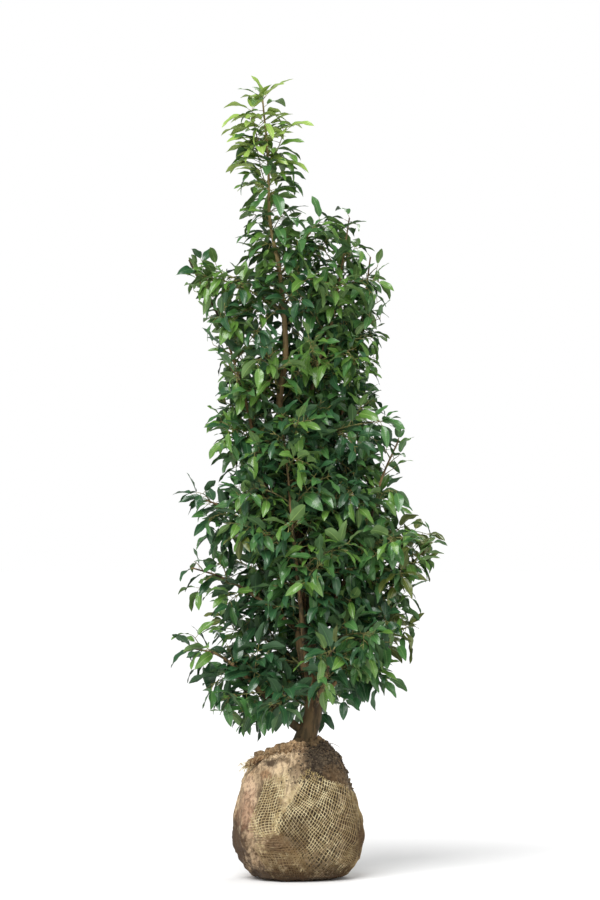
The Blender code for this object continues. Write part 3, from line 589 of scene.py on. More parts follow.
def place_mask_group() -> Tree:
    """Build the group that marks the inside of a rough-edged egg round a place.

    Formula: the place less Centre, divided by Size, has a length that is 1 on the egg.  Noise
    is added to it, and the mask falls from 1 to 0 while it grows from 1 - Edge to 1 + Edge.

    Returns:
        The group, with the output Mask.
    """
    graph, given, made = new_group("place mask", {"Centre": (0.0, 0.0, 0.0), "Size": (1.0, 1.0, 1.0),
                                                  "Edge": 0.3, "Rough": 0.8}, ("Mask",))
    place = graph.place()
    away = graph.vector("SUBTRACT", place, given.outputs["Centre"])
    scaled = graph.vector("DIVIDE", away, given.outputs["Size"])
    length = graph.feed(graph.node("VectorMath", operation="LENGTH"), _0=scaled)
    speckle = (graph.noise(place, 45.0, 5.0, 0.65) - 0.5) * graph.out(given, "Rough")
    edge = graph.out(given, "Edge")
    rough = graph.out(length, "Value") + speckle
    graph.feed(made, Mask=graph.ramp(rough, 1.0 - edge, edge + 1.0, 1.0, 0.0))
    return graph.tree


def weave_group() -> Tree:
    """Build the group that draws a plain weave on the piece's own map, in metres.

    Formula: threads are sine ridges along both axes of the map, and the one on top changes
    from each crossing to the next like a chessboard.

    Returns:
        The group, with the outputs Hole and Height.
    """
    graph, given, made = new_group("weave", {"Threads": 500.0}, ("Hole", "Height"))
    waves = [graph.math("SINE", part * graph.out(given, "Threads") * math.pi)
             for part in graph.map_parts(WEAVE_MAP)]
    ridges = [abs(wave) for wave in waves]
    graph.feed(made, Hole=1.0 - graph.ramp(graph.math("MINIMUM", *ridges), 0.1, 0.55),
               Height=graph.math("MAXIMUM", *ridges) + waves[0] * waves[1] * 0.35)
    return graph.tree


class Groups:
    """The node groups that the finishes share."""

    def __init__(self) -> None:
        """Build the groups."""
        self.veins = leaf_veins_group()
        self.grain = grain_group()
        self.mask = place_mask_group()
        self.weave = weave_group()


@dataclass(frozen=True)
class Patch:
    """A rough-edged patch of another colour round a place."""

    centre: Place
    size: Place
    tint: Colour
    share: float = 0.8
    edge: float = 0.35
    rough: float = 1.2


def patch_rows(*rows: tuple[float, ...]) -> tuple[Patch, ...]:
    """Return a patch for each row of centre, size, colour, share, edge and roughness."""
    return tuple(Patch(row[:3], row[3:6], row[6:9], *row[9:]) for row in rows)


class Finish:
    """Shared start of every finish: a material with its shader, its patches and its bump."""

    def __init__(self, name: str, roughness: float) -> None:
        """Make a material with a Principled shader of the given roughness."""
        self.material = bpy.data.materials.new(name)
        self.material.use_nodes = True
        self.graph = Graph(self.material.node_tree)
        self.shader = self.material.node_tree.nodes["Principled BSDF"]
        self.graph.feed(self.shader, Roughness=roughness)

    def group(self, tree: Tree, **inputs: object) -> bpy.types.Node:
        """Place a node group and fill its inputs."""
        made = self.graph.node("Group")
        made.node_tree = tree
        return self.graph.feed(made, **inputs)

    def patched(self, base: Socket, patches: tuple[Patch, ...], mask: Tree) -> Socket:
        """Return a base colour with patches laid over it in order, each by the mask group."""
        for patch in patches:
            egg = self.group(mask, Centre=patch.centre, Size=patch.size, Edge=patch.edge, Rough=patch.rough)
            base = self.graph.mix(self.graph.out(egg, 0) * patch.share, base, patch.tint)
        return base

    def done(self, base: Socket, height: Socket, depth: float, strength: float = 1.0) -> Material:
        """Return the material with its base colour and a bump of a height times a depth."""
        made = self.graph.feed(self.graph.node("Bump"), Height=height, Distance=depth, Strength=strength)
        self.graph.feed(self.shader, Base_Color=base, Normal=made.outputs[0])
        return self.material


@dataclass(frozen=True)
class LeafFinish:
    """A shade of leaf: the upper side's colour, its rib and veins, and the underside's colour, duller than
    the blade's and darkened as painted shade.
    """

    name: str
    blade: Colour
    rib: Colour
    # the underside's own colour, darkened as painted shade
    under: Colour
    roughness: float = 0.30
    tip_brown: float = 0.0
    brown: Colour = (120, 84, 52)

    def build(self, groups: Groups) -> Material:
        """Return the material: veins over the blade, less gloss on the side that faces away."""
        finish = Finish(self.name, self.roughness)
        graph = finish.graph
        drawn = finish.group(groups.veins)
        rib, vein, tip = (graph.out(drawn, key) for key in ("Rib", "Vein", "Tip"))
        upper = graph.mix(rib, graph.mix(vein * 0.22, self.blade, self.rib), self.rib)
        upper = graph.mix(tip * self.tip_brown, upper, self.brown)
        lower = graph.mix(rib * 0.8, self.under, self.rib)
        back = graph.out(graph.node("NewGeometry"), "Backfacing")
        graph.feed(finish.shader, Coat_Roughness=0.22, Coat_Weight=(1.0 - back) * 0.35,
                   Roughness=back * 0.3 + self.roughness)
        return finish.done(graph.mix(back, upper, lower), drawn.outputs["Height"], 0.0006, 0.5)


@dataclass(frozen=True)
class GrainFinish:
    """Bark, thread or soil: a dark and a light colour along the grain, with blotches."""

    name: str
    dark: Colour
    light: Colour
    blotch: Colour
    size: float = 70.0
    stretch: float = 0.18
    roughness: float = 0.85
    depth: float = 0.0008
    patches: tuple[Patch, ...] = ()
    least: float = 0.22             # the grain's values that give the dark and the light colour
    most: float = 0.78
    blotch_share: float = 0.55

    def build(self, groups: Groups) -> Material:
        """Return the material, with the grain and the patches drawn by the shared groups."""
        finish = Finish(self.name, self.roughness)
        graph = finish.graph
        drawn = finish.group(groups.grain, Size=self.size, Stretch=self.stretch)
        wood = graph.mix(graph.ramp(graph.out(drawn, "Grain"), self.least, self.most), self.dark, self.light)
        wood = graph.mix(graph.out(drawn, "Blotch") * self.blotch_share, wood, self.blotch)
        wood = finish.patched(wood, self.patches, groups.mask)
        return finish.done(wood, drawn.outputs["Height"], self.depth)


@dataclass(frozen=True)
class ClothFinish:
    """Jute cloth: thread colour, darker gaps, pale fibres, and stains of soil in blotches."""

    name: str
    thread: Colour
    hole: Colour
    stain: Colour
    stain_share: float = 0.5
    fibre: Colour = (206, 184, 146)
    threads: float = 290.0
    patches: tuple[Patch, ...] = ()

    def build(self, groups: Groups) -> Material:
        """Return the material: each row lays a colour over the last by a mask times a share."""
        finish = Finish(self.name, 0.95)
        graph = finish.graph
        place = graph.place()
        woven = finish.group(groups.weave, Threads=self.threads)
        drawn = finish.group(groups.grain, Size=140.0, Stretch=0.5)
        cloth = graph.mix(graph.out(drawn, "Blotch") * self.stain_share, self.thread, self.stain)
        fibres = graph.ramp(graph.noise(place, 230.0, 4.0, 0.75), 0.46, 0.62)
        cloth = graph.mix(fibres * 0.50, cloth, self.fibre)
        dirt = graph.ramp(graph.noise(place, 38.0, 6.0, 0.7), 0.50, 0.68)
        cloth = finish.patched(graph.mix(dirt * 0.62, cloth, self.stain), self.patches, groups.mask)
        specks = graph.ramp(graph.out(drawn, "Grain"), 0.40, 0.80)
        for share in (specks * 0.50, graph.out(woven, "Hole") * 0.48):
            cloth = graph.mix(share, cloth, self.hole)
        return finish.done(cloth, woven.outputs["Height"], 0.0007)


# ---- limbs -------------------------------------------------------------------------
@dataclass
class Limb:
    """A tapering limb from its foot to its leafy tip.

    The radius at share s of the length is tip + (foot - tip)(1 - s)^power, and the trunk's
    foot flares by flare times e^(-height / 0.09).
    """

    name: str
    foot_radius: float
    tip_radius: float
    bare: float
    knots: tuple[Place, ...]
    power: float = 1.3
    flare: float = 0.0
    step: float = 0.010

    def __post_init__(self) -> None:
        """Work out the path and the radii."""
        self.path = smooth_path(self.knots, self.step)
        rest = (1.0 - evenly(len(self.path))) ** self.power
        self.radii = self.tip_radius + (self.foot_radius - self.tip_radius) * rest
        self.radii = self.radii + self.flare * np.exp((GROUND - self.path[:, 2]) / 0.09)

    def bark(self, sides: int, depth: float) -> Surface:
        """Return the limb's surface with the relief of its bark.

        Formula: each ring's radius is multiplied by 1 plus depth times a noise stretched
        along the limb, plus 0.06 where a ring of old leaf scars stands out.

        Args:
            sides: How many sides a ring has.
            depth: The ridges' depth as a share of the radius.

        Returns:
            The closed surface.
        """
        length = np.linspace(0.0, length_of(self.path), len(self.path))
        ring, along = np.meshgrid(turns_round(sides), length)
        place = np.stack((np.cos(ring) * 2.4, np.sin(ring) * 2.4, along / 0.022), axis=-1)
        ridges = noise(place, 1.0, len(self.name)) + 0.5 * noise(place * 2.3, 1.0, 3.0)
        scars = np.maximum(0.0, np.sin(length / 0.0078 + np.sin(length * 90.0))) ** 8
        relief = 1.0 + depth * ridges + 0.06 * scars[:, None]
        return swept_tubes(self.path[None], self.radii[None], sides, relief[None])


class Limbs:
    """The trunk and its thirteen boughs."""

    SLIMMER = 0.86                  # the boughs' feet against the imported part's

    def __init__(self) -> None:
        """Work out every limb's path."""
        self.trunk = Limb(*TRUNK, flare=0.011, step=0.007)
        self.boughs = [Limb(name, foot * self.SLIMMER, *rest) for name, foot, *rest in BOUGHS]

    def build(self, finish: Material) -> None:
        """Make the piece of bark that replaces the trunk and the boughs."""
        surfaces = [self.trunk.bark(28, 0.08)] + [bough.bark(14, 0.05) for bough in self.boughs]
        names = tuple(limb.name for limb in (self.trunk, *self.boughs))
        joined(surfaces).to_object("bark_of_trunk_and_boughs", [finish], "bark", names)


# ---- foliage -----------------------------------------------------------------------
class Shade(Enum):
    """The shades that sprays of leaves come in, youngest first."""

    YOUNG = 0
    FRESH = 1
    GROWN = 2
    DEEP = 3
    OLIVE = 4


class Zone(Enum):
    """The three parts of the crown that get a piece of leaves each."""

    LOW = 0
    MIDDLE = 1
    HIGH = 2


@dataclass
class Outline:
    """The crown's outline: a rounded section at each height."""

    power: float = 2.4
    depth_share: float = 0.98
    ragged: float = 0.13            # how far its tufts and notches go in and out
    top: float = 2.112

    def section(self, heights: Array) -> tuple[Array, Array, Array]:
        """Return the middle, half width and half depth at each height."""
        table = np.array(REACH_BY_HEIGHT).T
        left, right, depth = (np.interp(heights, table[0], row) for row in table[1:])
        return (right - left) / 2, (right + left) / 2, depth * self.depth_share

    def reach(self, points: Array) -> Array:
        """Return 0 on the crown's axis, 1 on its outline and more outside it."""
        middle, across, depth = self.section(points[..., 2])
        sideways = np.abs((points[..., 0] - middle) / across) ** self.power
        inwards = np.abs(points[..., 1] / depth) ** self.power
        tufts = 1.0 + self.ragged * (noise(points, 0.075, 11.0) + 0.18)
        return np.where(points[..., 2] > self.top, 2.0, (sideways + inwards) ** (1 / self.power) * tufts)

    def place(self, height: float, turn: float, inset: float) -> Array:
        """Return a place at a height and turn, some way inside the outline."""
        middle, across, depth = self.section(np.array(height))
        x, y = middle + (across - inset) * math.cos(turn), (depth - inset) * math.sin(turn)
        return np.array((x, y, height))


@dataclass
class Stem:
    """A leafy stem: the mass it carries, its path, its zone, and whether it ends a limb."""

    name: str
    path: Array
    zone: Zone
    of_limb: bool


@dataclass
class Leaves:
    """Arrays with one row a leaf: where its blade starts, its directions, length and kind."""

    root: Array
    along: Array
    face: Array
    length: Array
    shade: Array
    zone: Array

    @staticmethod
    def merged(parts: list["Leaves"]) -> "Leaves":
        """Return one set that holds all the given ones."""
        names = [one.name for one in fields(Leaves)]
        return Leaves(*(np.concatenate([getattr(part, name) for part in parts]) for name in names))

    def only(self, mask: Array) -> "Leaves":
        """Return the leaves that the mask marks."""
        return Leaves(*(getattr(self, one.name)[mask] for one in fields(self)))


@dataclass
class LeafShape:
    """The outline and the curves of one leaf.

    Formula: at share u of the length the half width is half the width times
    2.75 u^0.6 (1 - u)^0.9.  The midrib bends down by bend times u and bows sideways by
    sickle u^2.  The blade rolls by twist times u and rises from the midrib by fold times
    the distance from it, and its margins ripple.
    """

    stations: int = 9
    across: int = 5
    width_share: float = 0.40
    fold: float = 0.30
    petiole: float = 0.20           # length of the stalk, as a share of the blade's

    def blades(self, leaves: Leaves, chance: Chance) -> Surface:
        """Return the blades of all the leaves as one surface.

        Args:
            leaves: Where the leaves' blades start, their directions and lengths.
            chance: The source of each leaf's own bend, sickle, twist and width.

        Returns:
            The blades, one sheet of faces each, with their own map.
        """
        count = len(leaves.root)
        draw = chance.uniform
        height = leaves.root[:, 2]
        u = np.concatenate(([0.0], np.linspace(0.05, 0.95, self.stations), [1.0]))
        level = np.sqrt(np.maximum(0.0, 1.0 - leaves.along[:, 2] ** 2))
        top = held((height - 1.3) / 0.5)
        bend = 0.34 + 0.41 * top + (0.90 - 0.25 * top) * draw(0.0, 1.0, count)
        bend = bend * (0.30 + 0.70 * level)
        sickle = draw(-0.16, 0.16, count)
        twist = draw(-0.9, 0.9, count)
        slim = np.interp(height, (1.3, 1.7), (1.0, 0.90))
        width = leaves.length * self.width_share * slim * draw(0.84, 1.16, count)
        fold = self.fold * draw(0.4, 1.5, count)
        wave = draw(0.0, 2 * math.pi, count)
        face, along = leaves.face[:, None, :], leaves.along[:, None, :]
        side = np.cross(leaves.along, leaves.face)[:, None, :]
        angle = bend[:, None] * u[None, :]
        tangent = fanned(along, -face, angle)
        steps = np.diff(u)[None, :, None] * (tangent[:, 1:] + tangent[:, :-1]) / 2
        centre = np.concatenate((np.zeros((count, 1, 3)), np.cumsum(steps, axis=1)), axis=1)
        bow = (sickle[:, None] * u[None, :] ** 2)[..., None] * side
        centre = leaves.root[:, None, :] + leaves.length[:, None, None] * (centre + bow)
        upward = fanned(face, along, angle)
        roll = twist[:, None] * u[None, :]
        sideways, normal = fanned(side, upward, roll), fanned(upward, -side, roll)
        outline = 2.75 * u ** 0.6 * (1.0 - u) ** 0.9
        half = (0.5 * width[:, None] * outline[None, :])[:, :, None]
        v = np.linspace(-1.0, 1.0, self.across)
        ripple = np.sin(11.0 * u[None, :] + wave[:, None])[:, :, None]
        lift = fold[:, None, None] * np.abs(v) + 0.20 * ripple * np.abs(v) ** 2 * np.sign(v + 0.3)
        points = (centre[:, :, None, :] + (half * v)[..., None] * sideways[:, :, None, :]
                  + (half * lift)[..., None] * normal[:, :, None, :])
        whole = capped(points[:, 1:-1], centre[:, (0, -1)], wrap=False)
        map_u = np.repeat(u[1:-1, None], self.across, axis=1)
        map_v = 0.5 + 0.5 * outline[1:-1, None] * v[None, :]
        map_one = np.vstack((np.stack((map_v, map_u), axis=-1).reshape(-1, 2), ((0.5, 0.0), (0.5, 1.0))))
        whole.uv = np.tile(map_one, (count, 1))
        whole.finish = np.concatenate([np.repeat(leaves.shade, len(faces) // count)
                                       for faces in (whole.quads, whole.triangles)])
        return whole


@dataclass
class Twigs:
    """How side twigs stand along a stem.

    first is the bare length at the stem's foot and step the distance between two twigs.
    share is the lowest twig's length as a share of the stem's, and least the shortest
    length.  angle is the one between twig and stem, in degrees, and past the share last of
    the stem there are none.
    """

    first: float
    step: float
    share: float
    least: float
    angle: float
    last: float


class Foliage:
    """Grows stems, side twigs and leaves inside the crown's outline."""

    # Radii at the foot and the tip.
    STEM_RADII, TWIG_RADII, TWIGLET_RADII = (0.0034, 0.0012), (0.0019, 0.0008), (0.0011, 0.0006)
    TOP_HEIGHT = 1.66               # above it leaves stand closer and stiffer
    LEADER_HEIGHT = 1.72            # above it only the leader is left
    YOUNG_HEIGHT = 1.93             # above it most leaves are young
    TIP_HEIGHT = 2.03               # a twig that ends above it closes with one upright leaf
    LOWEST_LEAF = 0.352             # no leaf's tip hangs below it
    LEAF_STEP, TOP_LEAF_STEP = 0.0165, 0.0090       # distance between leaves along a twig
    LEAF_ANGLES = (44.0, 76.0)      # between a leaf and its twig, in degrees
    LEAF_SIZE = ((0.5, 0.9, 1.5, 1.75, 1.85), (0.069, 0.064, 0.061, 0.072, 0.080))  # by height
    PAST_OUTLINE, PAST_LEADER = 1.04, 1.16          # the reach that the leaves' tips may have
    TWIG_REACH = 0.95               # the reach that twigs may have
    LONG_TWIG = 0.08                # twiglets grow on twigs of this length
    CLEARED = 0.78                  # the share of leaves taken away before the shown trunk
    CLEAR_HALF = 0.017              # half the width of that strip
    HIGH_LIMBS = ("trunk", "right_stem", "left_stem", "right_outer_stem")
    SIDE_TWIGS = Twigs(0.02, 0.032, 0.60, 0.05, 50.0, 0.92)
    TOP_TWIGS = Twigs(0.02, 0.026, 0.15, 0.022, 50.0, 0.92)
    TWIGLETS = Twigs(0.03, 0.034, 0.42, 0.035, 48.0, 0.85)
    # Stretches of the trunk that show between the leaves: middle and half the height.
    SHOWN = ((1.50, 0.26), (0.89, 0.07), (0.735, 0.035))

    def __init__(self, limbs: Limbs, chance: Chance) -> None:
        """Plan the stems of the masses on the limbs and of the tiers round the trunk."""
        self.limbs = limbs
        self.chance = chance
        self.outline = Outline()
        self.shape = LeafShape()
        self.stems = [*self.limb_stems(), *self.tier_stems()]
        self.twigs: list[tuple[Array, float, float]] = []
        self.leaves: list[Leaves] = []
        self.stalks: list[Array] = []

    def limb_stems(self) -> list[Stem]:
        """Return the leafy ends of the limbs."""
        stems = []
        for limb in (self.limbs.trunk, *self.limbs.boughs):
            path = limb.path[int(limb.bare * 0.85 * (len(limb.path) - 1)):]
            zone = Zone.LOW if path[-1, 2] < 0.9 else Zone.MIDDLE
            zone = Zone.HIGH if limb.name in self.HIGH_LIMBS else zone
            stems.append(Stem(limb.name + "_foliage", path, zone, True))
        return stems

    def tier_stems(self) -> list[Stem]:
        """Return the stems of the tiers, which leave the trunk and bow upwards."""
        stems = []
        trunk = self.limbs.trunk.path
        for tier, (height, count, first, rise) in enumerate(TIERS, start=1):
            for index in range(count):
                name = f"foliage_{tier}_{index + 1}"
                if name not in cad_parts:
                    continue
                low = height - rise + TIER_STAGGER * index
                start = np.array([np.interp(low, trunk[:, 2], trunk[:, axis]) for axis in range(3)])
                end = self.outline.place(height, math.radians(first + 360.0 * index / count), 0.050)
                rising = unit(unit((end - start) * (1.0, 1.0, 0.0)) + np.array((0.0, 0.0, 0.9)))
                bend = start + rising * 0.5 * np.linalg.norm(end - start)
                path = bowed_paths(start[None], bend[None], end[None], 28)[0]
                zone = Zone.LOW if tier <= 3 else Zone.MIDDLE if tier <= 5 else Zone.HIGH
                stems.append(Stem(name, path, zone, False))
        return stems

    def side_paths(self, path: Array, plan: Twigs) -> list[Array]:
        """Return the paths of side twigs, a golden turn apart, along a stem.

        Args:
            path: The stem's points.
            plan: How the twigs stand.

        Returns:
            One path a twig, each cut off where it would leave the outline.
        """
        draw = self.chance.uniform
        length = length_of(path)
        places = np.arange(plan.first, length * plan.last, plan.step)
        count = len(places)
        if not count:
            return []
        places = places + draw(-0.25, 0.25, count) * plan.step
        shares = np.clip(places / length, 0.0, 0.98)
        foot = along_path(path, shares)
        along = unit(along_path(path, np.minimum(shares + 0.02, 1.0)) - foot)
        turn = draw(0.0, 2 * math.pi) + GOLDEN_TURN * np.arange(count)
        outward = fanned(*round_frame(along), turn)
        way = unit(fanned(along, outward, np.radians(plan.angle + draw(-9.0, 9.0, count))))
        span = np.maximum(plan.least, length * plan.share - places * plan.share * 0.90)
        span = (span * draw(0.80, 1.15, count))[:, None]
        sag = -UP * span * draw(0.02, 0.30, count)[:, None]
        bend = foot + way * span * 0.5 + UP * span * 0.10
        kept = []
        for twig in bowed_paths(foot, bend, foot + way * span + sag, 12):
            outside = np.nonzero(self.outline.reach(twig) > self.TWIG_REACH)[0]
            kept.append(twig[:outside[0]] if len(outside) else twig)
        return [twig for twig in kept if len(twig) >= 4]

    def dress(self, path: Array, radii: tuple[float, float], first: float, zone: Zone, shade: Shade,
              end_leaves: int = 2, in_bark: bool = False) -> None:
        """Set leaves round a twig, a golden turn apart, smaller towards its tip.

        Args:
            path: The twig's points.
            radii: Its radii at its foot and its tip.
            first: The bare length at its foot.
            zone: The part of the crown that it belongs to.
            shade: The shade of its leaves.
            end_leaves: How many leaves crowd at its tip.
            in_bark: Whether the piece of bark already has it.
        """
        if not in_bark:
            self.twigs.append((path, *radii))
        draw = self.chance.uniform
        length = length_of(path)
        top, tip = path[-1, 2] > self.TOP_HEIGHT, path[-1, 2] > self.TIP_HEIGHT
        places = np.arange(first, length, self.TOP_LEAF_STEP if top else self.LEAF_STEP)
        places = np.concatenate((places, np.full(end_leaves, length)))
        count = len(places)
        shares = held(places / length)
        foot = along_path(path, shares)
        along = unit(along_path(path, np.minimum(shares + 0.03, 1.0))
                     - along_path(path, np.maximum(shares - 0.03, 0.0)))
        turn = draw(0.0, 2 * math.pi) + GOLDEN_TURN * np.arange(count)
        outward = fanned(*round_frame(along), turn + draw(-0.35, 0.35, count))
        outward = unit(outward * np.array((1.8 if top else 1.4, 1.0, 1.0)))
        angle = np.radians(draw(*self.LEAF_ANGLES, count) + (8.0 if top else 0.0))
        angle[count - end_leaves:] *= 0.62
        if tip:
            angle[-1] = 0.10
        way = fanned(along, outward, angle)
        rising = np.maximum(0.0, way[:, 2]) ** 2
        droop = draw(*((-0.15, 0.20) if top else (-0.40, 0.40)), count)
        along_leaf = unit(way - UP * (droop * (1.0 - rising))[:, None])
        level = unit(np.cross(along_leaf, np.array((0.04, 0.0, 1.0))))
        most = 0.35 if top else 0.75
        face = fanned(np.cross(level, along_leaf), level, draw(-most, most, count))
        size = np.interp(foot[:, 2], *self.LEAF_SIZE) * draw(0.82, 1.18, count)
        young = held((1.0 - shares) / 0.25)
        size = size * (0.90 + 0.10 * young if top else 0.82 + 0.18 * young)
        if tip:
            size[-1] = 0.060
        stalk = (size * self.shape.petiole)[:, None]
        base = foot + way * np.interp(shares, (0.0, 1.0), radii)[:, None] * 0.5
        root = base + unit(way + along_leaf) * stalk
        odd = self.chance.random(count)
        shades = np.full(count, shade.value)
        shades = np.where((odd < 0.05) & (shades == Shade.GROWN.value), Shade.FRESH.value, shades)
        # Young leaves above YOUNG_HEIGHT: young growth, and in part painted light that shines through them.
        shades = np.where((foot[:, 2] > self.YOUNG_HEIGHT) & (odd < 0.55), Shade.YOUNG.value, shades)
        tips = root + along_leaf * (size * 0.86)[:, None] - face * (size * 0.22)[:, None]
        limit = np.where(tips[:, 2] > self.LEADER_HEIGHT, self.PAST_LEADER, self.PAST_OUTLINE)
        keep = (self.outline.reach(tips) < limit) & (tips[:, 2] > self.LOWEST_LEAF)
        for place in (tips, (tips + root) / 2):
            keep &= ~(self.before_trunk(place) & (self.chance.random(count) < self.CLEARED))
        made = Leaves(root, along_leaf, face, size, shades, np.full(count, zone.value))
        self.leaves.append(made.only(keep))
        self.stalks.append(np.stack((base, base + way * (stalk * 0.55), root), axis=1)[keep])

    def before_trunk(self, places: Array) -> Array:
        """Return which places lie right before the stretches of trunk that show."""
        trunk = self.limbs.trunk.path
        aside = np.abs(places[:, 0] - np.interp(places[:, 2], trunk[:, 2], trunk[:, 0]))
        shown = [np.abs(places[:, 2] - middle) < half for middle, half in self.SHOWN]
        return (aside < self.CLEAR_HALF) & (places[:, 1] < 0.0) & np.any(shown, axis=0)

    def shade_of(self, path: Array) -> Shade:
        """Deal out a spray's shade by how far out and how high it is.

        Args:
            path: The points of the spray's twig.

        Returns:
            The shade: young ones towards the leader, olive ones on the outside low down, fresh ones outside
                and high up, and deep ones inside. These follow the leaves' ages in part and are painted
                light in part: the young and fresh ones high up and outside stand for painted light, and the
                deep ones inside for painted shade.
        """
        x, _, height = path[-1]
        outer = float(self.outline.reach(path[-1]))
        pick = self.chance.random()
        if height > self.LEADER_HEIGHT:
            young = 0.62 if height > self.YOUNG_HEIGHT else 0.10
            return Shade.YOUNG if pick < young else Shade.FRESH if pick < 0.72 else Shade.GROWN
        olive = 0.34 if height < 0.55 else 0.16 if x > 0.05 else 0.08
        if outer > 0.70 and height < 1.0 and pick > 1.0 - olive:
            return Shade.OLIVE
        # More fresh sprays outside and high up and more deep ones inside: in part painted light and painted
        # shade.
        fresh = 0.28 if outer > 0.6 else 0.12
        fresh += float(np.interp(height, (0.5, 0.9, 1.2, 1.3, 1.6), (-0.16, 0.0, 0.0, 0.12, 0.24)))
        return Shade.FRESH if pick < fresh else Shade.GROWN if pick < fresh + 0.38 else Shade.DEEP

    def grow(self) -> None:
        """Grow every stem's side twigs, their twiglets and all the leaves."""
        for stem in self.stems:
            top = stem.name == "trunk_foliage"
            shade = Shade.FRESH if top else self.shade_of(stem.path)
            self.dress(stem.path, self.STEM_RADII, 0.03, stem.zone, shade, 5 if top else 3,
                       stem.of_limb)
            self.branch(stem.path, self.TOP_TWIGS if top else self.SIDE_TWIGS, stem.zone, not top)
        for knots, foot in SHOOTS:
            self.dress(smooth_path(knots, 0.01), (foot, 0.0010), 0.012, Zone.HIGH, Shade.YOUNG, 4)
        zones = {stem.name: stem.zone for stem in self.stems}
        for limb in self.limbs.boughs:
            count = len(limb.path)
            bare = limb.path[int(0.16 * count):int(0.92 * limb.bare * count)]
            plan = Twigs(0.01, 0.030, 0.09 / length_of(bare), 0.07, 58.0, 0.97)
            self.branch(bare, plan, zones[limb.name + "_foliage"], False)

    def branch(self, path: Array, plan: Twigs, zone: Zone, further: bool) -> None:
        """Grow side twigs on a stem, and where asked twiglets on the longer ones.

        Args:
            path: The stem's points.
            plan: How the side twigs stand.
            zone: The part of the crown that they belong to.
            further: Whether twiglets grow on them.
        """
        for twig in self.side_paths(path, plan):
            self.dress(twig, self.TWIG_RADII, 0.020, zone, self.shade_of(twig))
            if further and length_of(twig) >= self.LONG_TWIG:
                for twiglet in self.side_paths(twig, self.TWIGLETS):
                    self.dress(twiglet, self.TWIGLET_RADII, 0.014, zone, self.shade_of(twiglet))

    def build(self, shades: list[Material], twig: Material, stalk: Material) -> None:
        """Make the pieces of leaves, leaf stalks and twigs.

        Args:
            shades: The materials of the leaves, in the order of Shade.
            twig: The material of the twigs.
            stalk: The material of the leaf stalks.
        """
        self.grow()
        leaves = Leaves.merged(self.leaves)
        LOG.info("crown: %d leaves on %d twigs", len(leaves.root), len(self.twigs))
        for zone in Zone:
            names = tuple(stem.name for stem in self.stems if stem.zone is zone)
            blades = self.shape.blades(leaves.only(leaves.zone == zone.value), self.chance)
            blades.to_object(f"leaves_{zone.name.lower()}", shades, "leaf", names)
        stalks = np.concatenate(self.stalks)
        paths = bowed_paths(stalks[:, 0], stalks[:, 1], stalks[:, 2], 4)
        radii = np.tile(np.array((0.0009, 0.0007, 0.0007, 0.0006)), (len(paths), 1))
        swept_tubes(paths, radii, 4).to_object("leaf_stalks", [stalk], "bark")
        paths = np.stack([along_path(path, evenly(10)) for path, _, _ in self.twigs])
        radii = np.stack([np.linspace(foot, tip, 10) for _, foot, tip in self.twigs])
        swept_tubes(paths, radii, 6).to_object("twigs", [twig], "bark")


